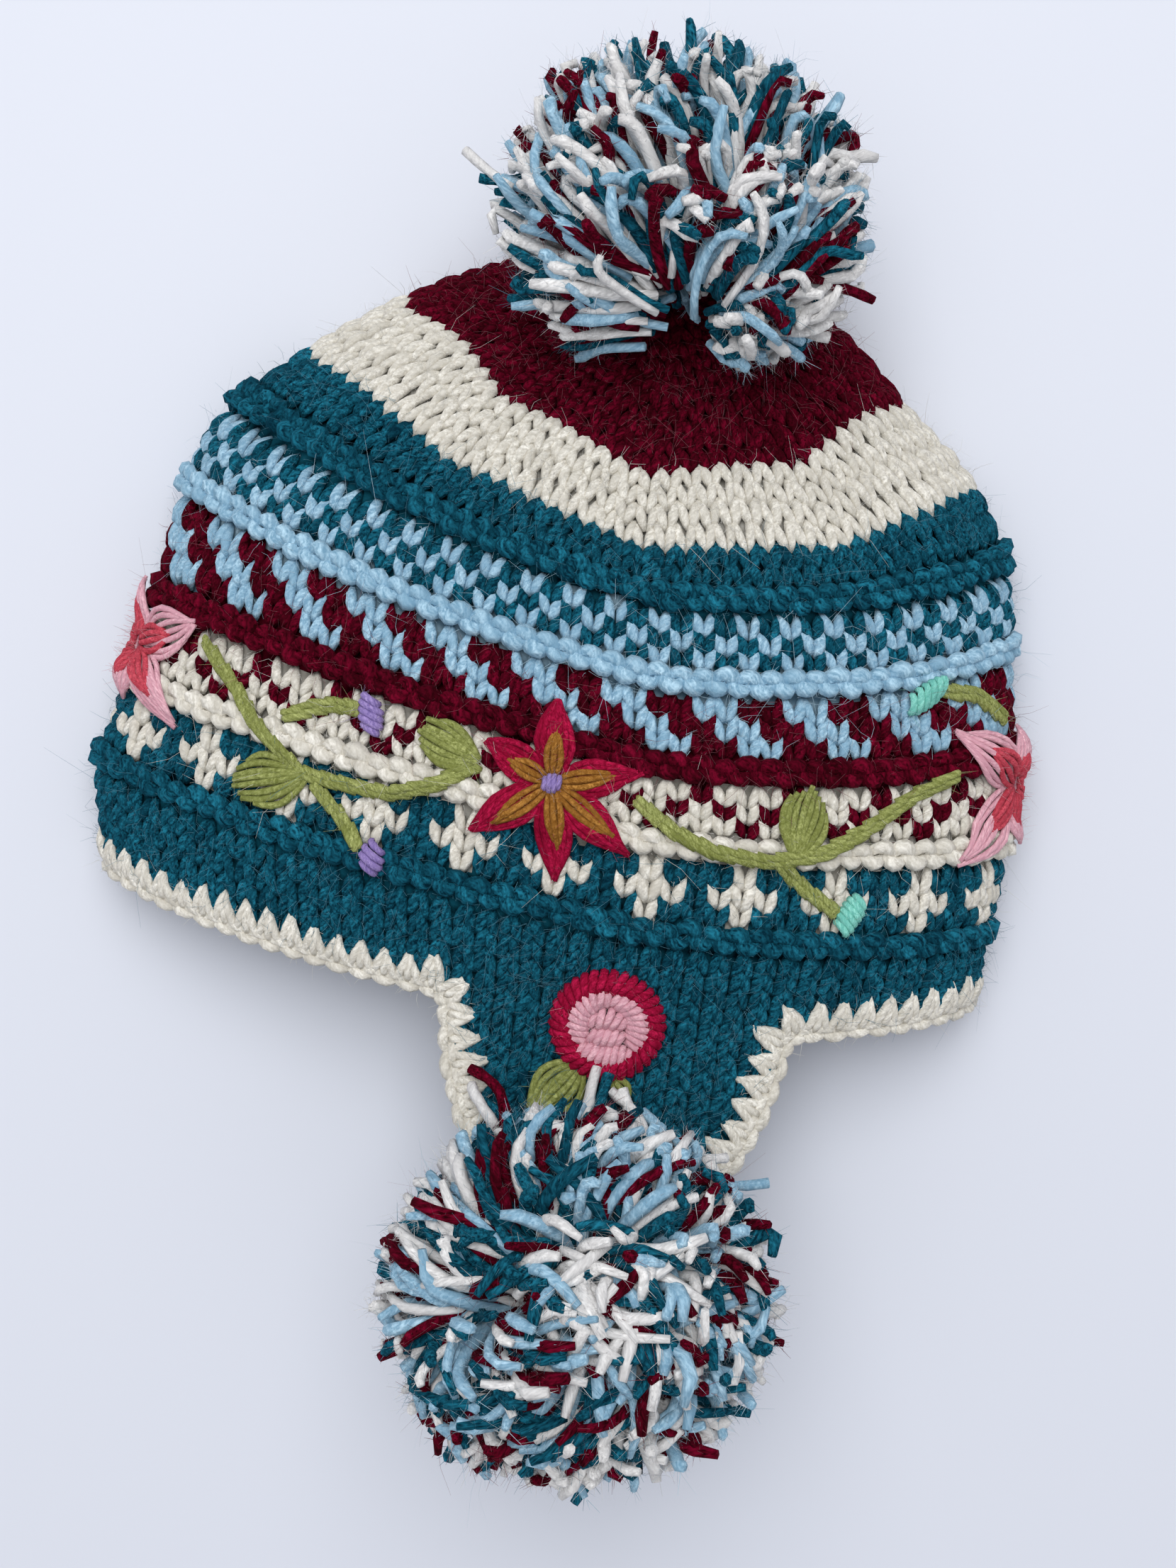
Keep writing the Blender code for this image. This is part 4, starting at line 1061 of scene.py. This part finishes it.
def flower(node, plan, seed, colours, width, core, strands):
    """A lazy-daisy flower: outer strands round inner ones, as a piece each.

    core is how long and how wide an inner petal is, as shares of its outer one.
    """
    centre, longest, table = plan
    outer, inner = Pile(node + "_yarn", seed), Pile(node + "_inlay_yarn", seed + 1)
    for degrees, share in table:
        base = polar(centre, 2.0, degrees)
        tip = polar(centre, longest * share, degrees)
        petal(outer, on_body, base, tip, width, (-1.0, -0.66, -0.3, 0.0, 0.3, 0.66, 1.0),
              colours[0], radius=0.88)
        reach = polar(centre, longest * share * core[0] * outer.chance.uniform(0.85, 1.1),
                      degrees + outer.chance.normal(0, 2))
        petal(inner, on_body, base, reach, width * core[1], strands, colours[1],
              lift=2.6, root=0.5, blunt=0.2, hump=1.5)
    stand_for(outer.build(), node)
    stand_for(inner.build(), node + "_inlay")


def sew_flowers():
    """The big flower with its knot, and the two side flowers."""
    flower("star_flower", STAR, 30, ("crimson", "ochre"), 8.8, (0.74, 0.42), (-0.9, 0.0, 0.9))
    (x, y), *_ = STAR
    sewn("star_flower_knot", 32, lambda pile: bullion(
        pile, on_body, ((x - 1.9, y - 0.4), (x + 1.9, y + 0.4)), 4.4, "lilac", 3.6, 0.8))
    for node, plan, seed in (("side_flower_left", SIDE_LEFT, 34),
                             ("side_flower_right", SIDE_RIGHT, 36)):
        flower(node, plan, seed, ("pink", "coral"), 10.0, (0.66, 0.50),
               (-1.0, -0.35, 0.35, 1.0))


def sew_stems():
    """The stems with their buds and leaves."""
    for seed, (node, points) in enumerate(STEMS.items(), 40):
        sewn(node, seed, lambda pile: outline_stitch(pile, points))
    for seed, (node, (middle, half, colour)) in enumerate(BUDS.items(), 50):
        ends = [(middle[0] + sign * half[0], middle[1] + sign * half[1]) for sign in (-1, 1)]
        sewn(node, seed, lambda pile: bullion(
            pile, on_body, ends, 6.0, colour, 2.2, 1.05, arch=2.8, gap=1.85))
    for seed, (node, (base, tip, width)) in enumerate(LEAVES.items(), 60):
        sewn(node, seed, lambda pile: petal(
            pile, on_body, base, tip, width, np.linspace(-1, 1, 8), "olive", radius=1.0,
            root=0.12, fan=True))


def rose_coils(pile):
    """The pink bullion coils of the rose."""
    for path, width in ROSE_COILS:
        bullion(pile, on_near_flap, [(ROSE[0] + a, ROSE[1] + b) for a, b in path], width,
                "pink", 2.4, 1.1, arch=3.0, gap=1.95)


def rose_leaf(pile):
    """The leaf beside the rose, and a short one next to it."""
    petal(pile, on_near_flap, (-9.2, -17.6), (-19.6, -31.6), 10.5, np.linspace(-1, 1, 7),
          "olive", radius=1.0, root=0.5, blunt=0.35)
    petal(pile, on_near_flap, (1.5, -19.5), (6.5, -24.5), 5.0, (-0.8, 0.0, 0.8), "olive")


def sew_rose():
    """The coiled rose on the near flap: a ring of wraps round coils, and its leaf."""
    sewn("rose_ring", 70, lambda pile: wrap_ring(
        pile, on_near_flap, ROSE, 9.6, 15.5, 34, "crimson", 3.2))
    sewn("rose_coils", 71, rose_coils)
    sewn("rose_leaf", 72, rose_leaf)


# Pom-poms.

# Share of the strands of each colour.
# the pale pom-pom yarn is the cream yarn, painted paler and cooler as skylight
POMPOM_YARNS = {"white": 0.34, "blue": 0.25, "teal": 0.23, "burgundy": 0.18}

# Each pom-pom: tie, strands, seed, how far strands lean, lowest height, how far they keep
# off the side towards the rim, share kept underneath, and short hairs on a strand.
POMPOMS = {
    "pompom_top": ((0.018, 0.101, 0.064), 1100, 21, 0.009, 0.0, 0.62, 0.4, 34),
    "pompom_flap_near": (None, 1350, 22, 0.017, 0.056, 0.0, 0.3, 34),
    "pompom_flap_far": (None, 400, 23, 0.012, 0.0, 0.0, 1.0, 10),
}

# Strands of the near flap's pom-pom that lie over the flap: colour, start and end.
STRAYS = (
    ("white", (-5.3, -36.0), (-3.9, -16.1)), ("teal", (-1.5, -33.0), (-0.2, -17.6)),
    ("white", (13.5, -38.0), (0.8, -22.5)), ("white", (15.0, -37.0), (4.0, -21.5)),
    ("blue", (18.0, -37.0), (10.0, -27.0)), ("burgundy", (-26.3, -38.0), (-38.5, -22.5)),
    ("white", (-29.0, -37.0), (-37.0, -27.0)), ("blue", (-14.0, -40.0), (-21.0, -31.0)),
    ("teal", (-22.0, -39.0), (-33.0, -31.0)), ("blue", (-4.0, -41.0), (-13.0, -33.0)),
    ("burgundy", (-6.5, -38.0), (-9.5, -31.0)), ("white", (22.0, -41.0), (30.0, -38.0)),
)

# Longer strands that stick out of a pom-pom: colour, start and end in mm.
LOOSE_ENDS = {
    "pompom_top": (("teal", (-30, 134, 63), (-45.5, 130, 64)),
                   ("white", (-36, 128, 66), (-50.6, 137.6, 62)),
                   ("white", (-28, 129, 58), (-42, 125, 58)),
                   ("burgundy", (38, 114, 63), (65, 113, 61))),
    "pompom_flap_near": (("blue", (48, -127, 72), (69, -127, 70)),
                         ("white", (40, -124, 74), (57, -122, 69))),
}


def ball_ways(count, chance):
    """Directions spread evenly over a ball, a little shaken."""
    k = np.arange(count) + 0.5
    lean = np.arccos(1 - 2 * k / count)
    around = math.pi * (1 + 5 ** 0.5) * k
    way = np.stack([np.cos(around) * np.sin(lean), np.sin(around) * np.sin(lean),
                    np.cos(lean)], -1)
    return unit(way + chance.normal(0, 0.06, way.shape))


def strand_flow(way, bare, chance):
    """The way that each strand leans, much the same for the strands of a tuft."""
    waves = chance.normal(0, 4.2, (9, 3))
    phases = chance.uniform(0, TURN, 9)
    pushes = chance.normal(0, 1, (9, 3))
    flow = np.sin(way @ waves.T + phases) @ pushes + chance.normal(0, 0.8, way.shape)
    flow[:, 1] += 2.5 * bare * (way[:, 1] < 0)
    return unit(flow - way * (flow * way).sum(1, keepdims=True))


def strand_paths(way, flow, centre, size, tie, flop, low, chance):
    """Paths of strands that leave the tie, turn near the ball's surface and lean over."""
    count = len(way)
    facing_up = np.clip(way[:, 2:], 0, 1)
    lean = flow * flop * (0.35 + 0.85 * facing_up) * chance.uniform(0.4, 1.35, (count, 1))
    turn = size * way * chance.uniform(0.84, 1.06, (count, 1))
    spread = (turn + lean) / size
    length = np.linalg.norm(spread, axis=1, keepdims=True)
    end = centre + size * spread / np.maximum(length / chance.uniform(0.96, 1.09, (count, 1)), 1.0)
    turn = centre + turn * 0.97 - lean * 0.15
    start = tie + (turn - tie) * 0.40 + chance.normal(0, 2.5 * MM, (count, 3))
    t = np.linspace(0, 1, 8)[None, :, None]
    waver = chance.normal(0, 2.0 * MM, (count, 1, 3))
    paths = (start[:, None] * (1 - t) ** 2 + turn[:, None] * 2 * t * (1 - t) + end[:, None] * t ** 2
             + waver * np.sin(TURN * (t + chance.uniform(0, 1, (count, 1, 1)))) * t)
    paths[..., 2] = np.maximum(paths[..., 2], low + 1.7 * MM)
    return paths


def shed_hairs(pile, paths, thick, colours, number, points, longest):
    """Short loose hairs near the ends of a pom-pom's strands."""
    which = np.repeat(np.arange(len(paths)), number)
    spot = pile.chance.integers(3, 8, len(which))
    around = unit(pile.chance.normal(0, 1, (len(which), 3)))
    step = paths[which, spot] - paths[which, spot - 1]
    middle = paths[which, spot] - step * pile.chance.uniform(0, 1, (len(which), 1))
    lengths = longest * pile.chance.uniform(0.3, 1.0, len(which)) ** 1.5
    pile.hairs(middle + around * thick[which] * 0.8, unit(unit(step) + around), around,
               lengths, colours[which], width=0.20 / points ** 1.5 * MM, points=points)


def lay_strays(pile):
    """Lay the stray strands over the near flap."""
    t = np.linspace(0, 1, 9)[None, :, None]
    start, end = [np.array([stray[i] for stray in STRAYS])[:, None] for i in (1, 2)]
    bow = pile.chance.normal(0, 1.6, (len(STRAYS), 1, 2)) * np.sin(math.pi * t)
    points, normals = on_near_flap(start + (end - start) * t + bow, (9.0 - 4.2 * t[..., 0]) * MM)
    pile.add(points, 1.5 * MM, normals, [stray[0] for stray in STRAYS], rough=0.1)


def lay_loose_ends(pile, node):
    """Lay the longer strands that stick out of one pom-pom."""
    t = np.linspace(0, 1, 9)[:, None]
    for colour, *ends in LOOSE_ENDS.get(node, ()):
        start, end = [np.array(place) * MM for place in ends]
        wave = pile.chance.normal(0, 1.0 * MM, 3) * np.sin(math.pi * t)
        path = start + (end - start) * t + wave
        pile.add(path[None], 1.4 * MM, (0.0, 0.0, 1.0), [colour], pitch=8 * MM, rough=0.07)


def pompom(node, tie, count, seed, flop, low, bare, thin, each):
    """A ball of cut strands that lean over together in tufts."""
    pile = Pile(node + "_yarn", seed)
    chance = pile.chance
    corners = [np.array(corner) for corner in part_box(node)]
    centre, size = (corners[0] + corners[1]) / 2, (corners[1] - corners[0]) / 2
    way = ball_ways(count, chance)
    way = way[(way[:, 1] > bare - 1) | (np.abs(way[:, 0]) > 0.42)]
    way = way[(way[:, 2] > -0.35) | (chance.uniform(0, 1, len(way)) < thin)]
    flow = strand_flow(way, bare, chance)
    paths = strand_paths(way, flow, centre, size, centre if tie is None else np.array(tie),
                         flop, low, chance)
    colours = chance.choice(list(POMPOM_YARNS), len(way), p=list(POMPOM_YARNS.values()))
    thick = chance.uniform(1.3, 1.85, (len(way), 1)) * MM
    profile = np.array([0.8, 0.9, 1.0, 1.0, 1.0, 1.0, 1.0, 0.7])[None]
    pile.add(paths, thick * profile, unit(np.cross(way, flow))[:, None], colours,
             pitch=8 * MM, rough=0.07)
    for number, points, longest in ((each, 2, 4 * MM), (each // 10, 3, 8 * MM)):
        shed_hairs(pile, paths, thick, colours, number, points, longest)
    if node == "pompom_flap_near":
        lay_strays(pile)
    lay_loose_ends(pile, node)
    return pile


# Put the pieces together.

core = body_core()
stand_for(core, "knit_body")
row_pieces = [pile.build() for pile in (*knit_body_rows(), fuzz_body())]
for near, node in ((True, "ear_flap_near"), (False, "ear_flap_far")):
    sheet = flap_core(near)
    stand_for(sheet, node)
    rows = knit_flap(near).build()
stand_for(edging().build(), "crochet_edging")
sew_flowers()
sew_stems()
sew_rose()
for node, settings in POMPOMS.items():
    stand_for(pompom(node, *settings).build(), node)

# Floor, light and camera.

bpy.ops.mesh.primitive_plane_add(size=6.0, location=(0, 0, -0.4 * MM))
floor = bpy.context.object
floor.name = "floor"
paper, paper_shader = new_material("paper")
fill(paper_shader, {"Base Color": (0.66, 0.685, 0.75, 1.0), "Roughness": 0.6})
floor.data.materials.append(paper)

world = bpy.data.worlds.new("soft_room")
bpy.context.scene.world = world
world.use_nodes = True
fill(world.node_tree.nodes["Background"], {"Color": (0.92, 0.935, 1.0, 1.0), "Strength": 0.60})

LAMP_TARGET = Vector((0, 0, 0.03))
for name, place, size, power in (("window", (-0.12, 0.62, 1.5), 1.3, 17.5),
                                 ("ceiling", (-0.4, -0.1, 1.8), 1.4, 4.0)):
    data = bpy.data.lights.new(name, "AREA")
    data.size = size
    data.energy = power
    lamp = add_object(name, data)
    lamp.location = place
    lamp.rotation_euler = (LAMP_TARGET - Vector(place)).to_track_quat("-Z", "Y").to_euler()

PHOTO_HEIGHT = 2212
SENSOR = 36.0
FOCAL_PIXELS = 2588.0
camera_data = bpy.data.cameras.new("camera")
camera_data.sensor_width = SENSOR
camera_data.lens = FOCAL_PIXELS / PHOTO_HEIGHT * SENSOR
camera_data.clip_start = 0.01
camera = add_object("camera", camera_data)
camera.location = (0.006367, -0.028106, 0.560)
camera.rotation_euler = Euler((0.0, 0.0, math.radians(8.0)))
bpy.context.scene.camera = camera
bpy.context.scene.view_settings.view_transform = "Standard"
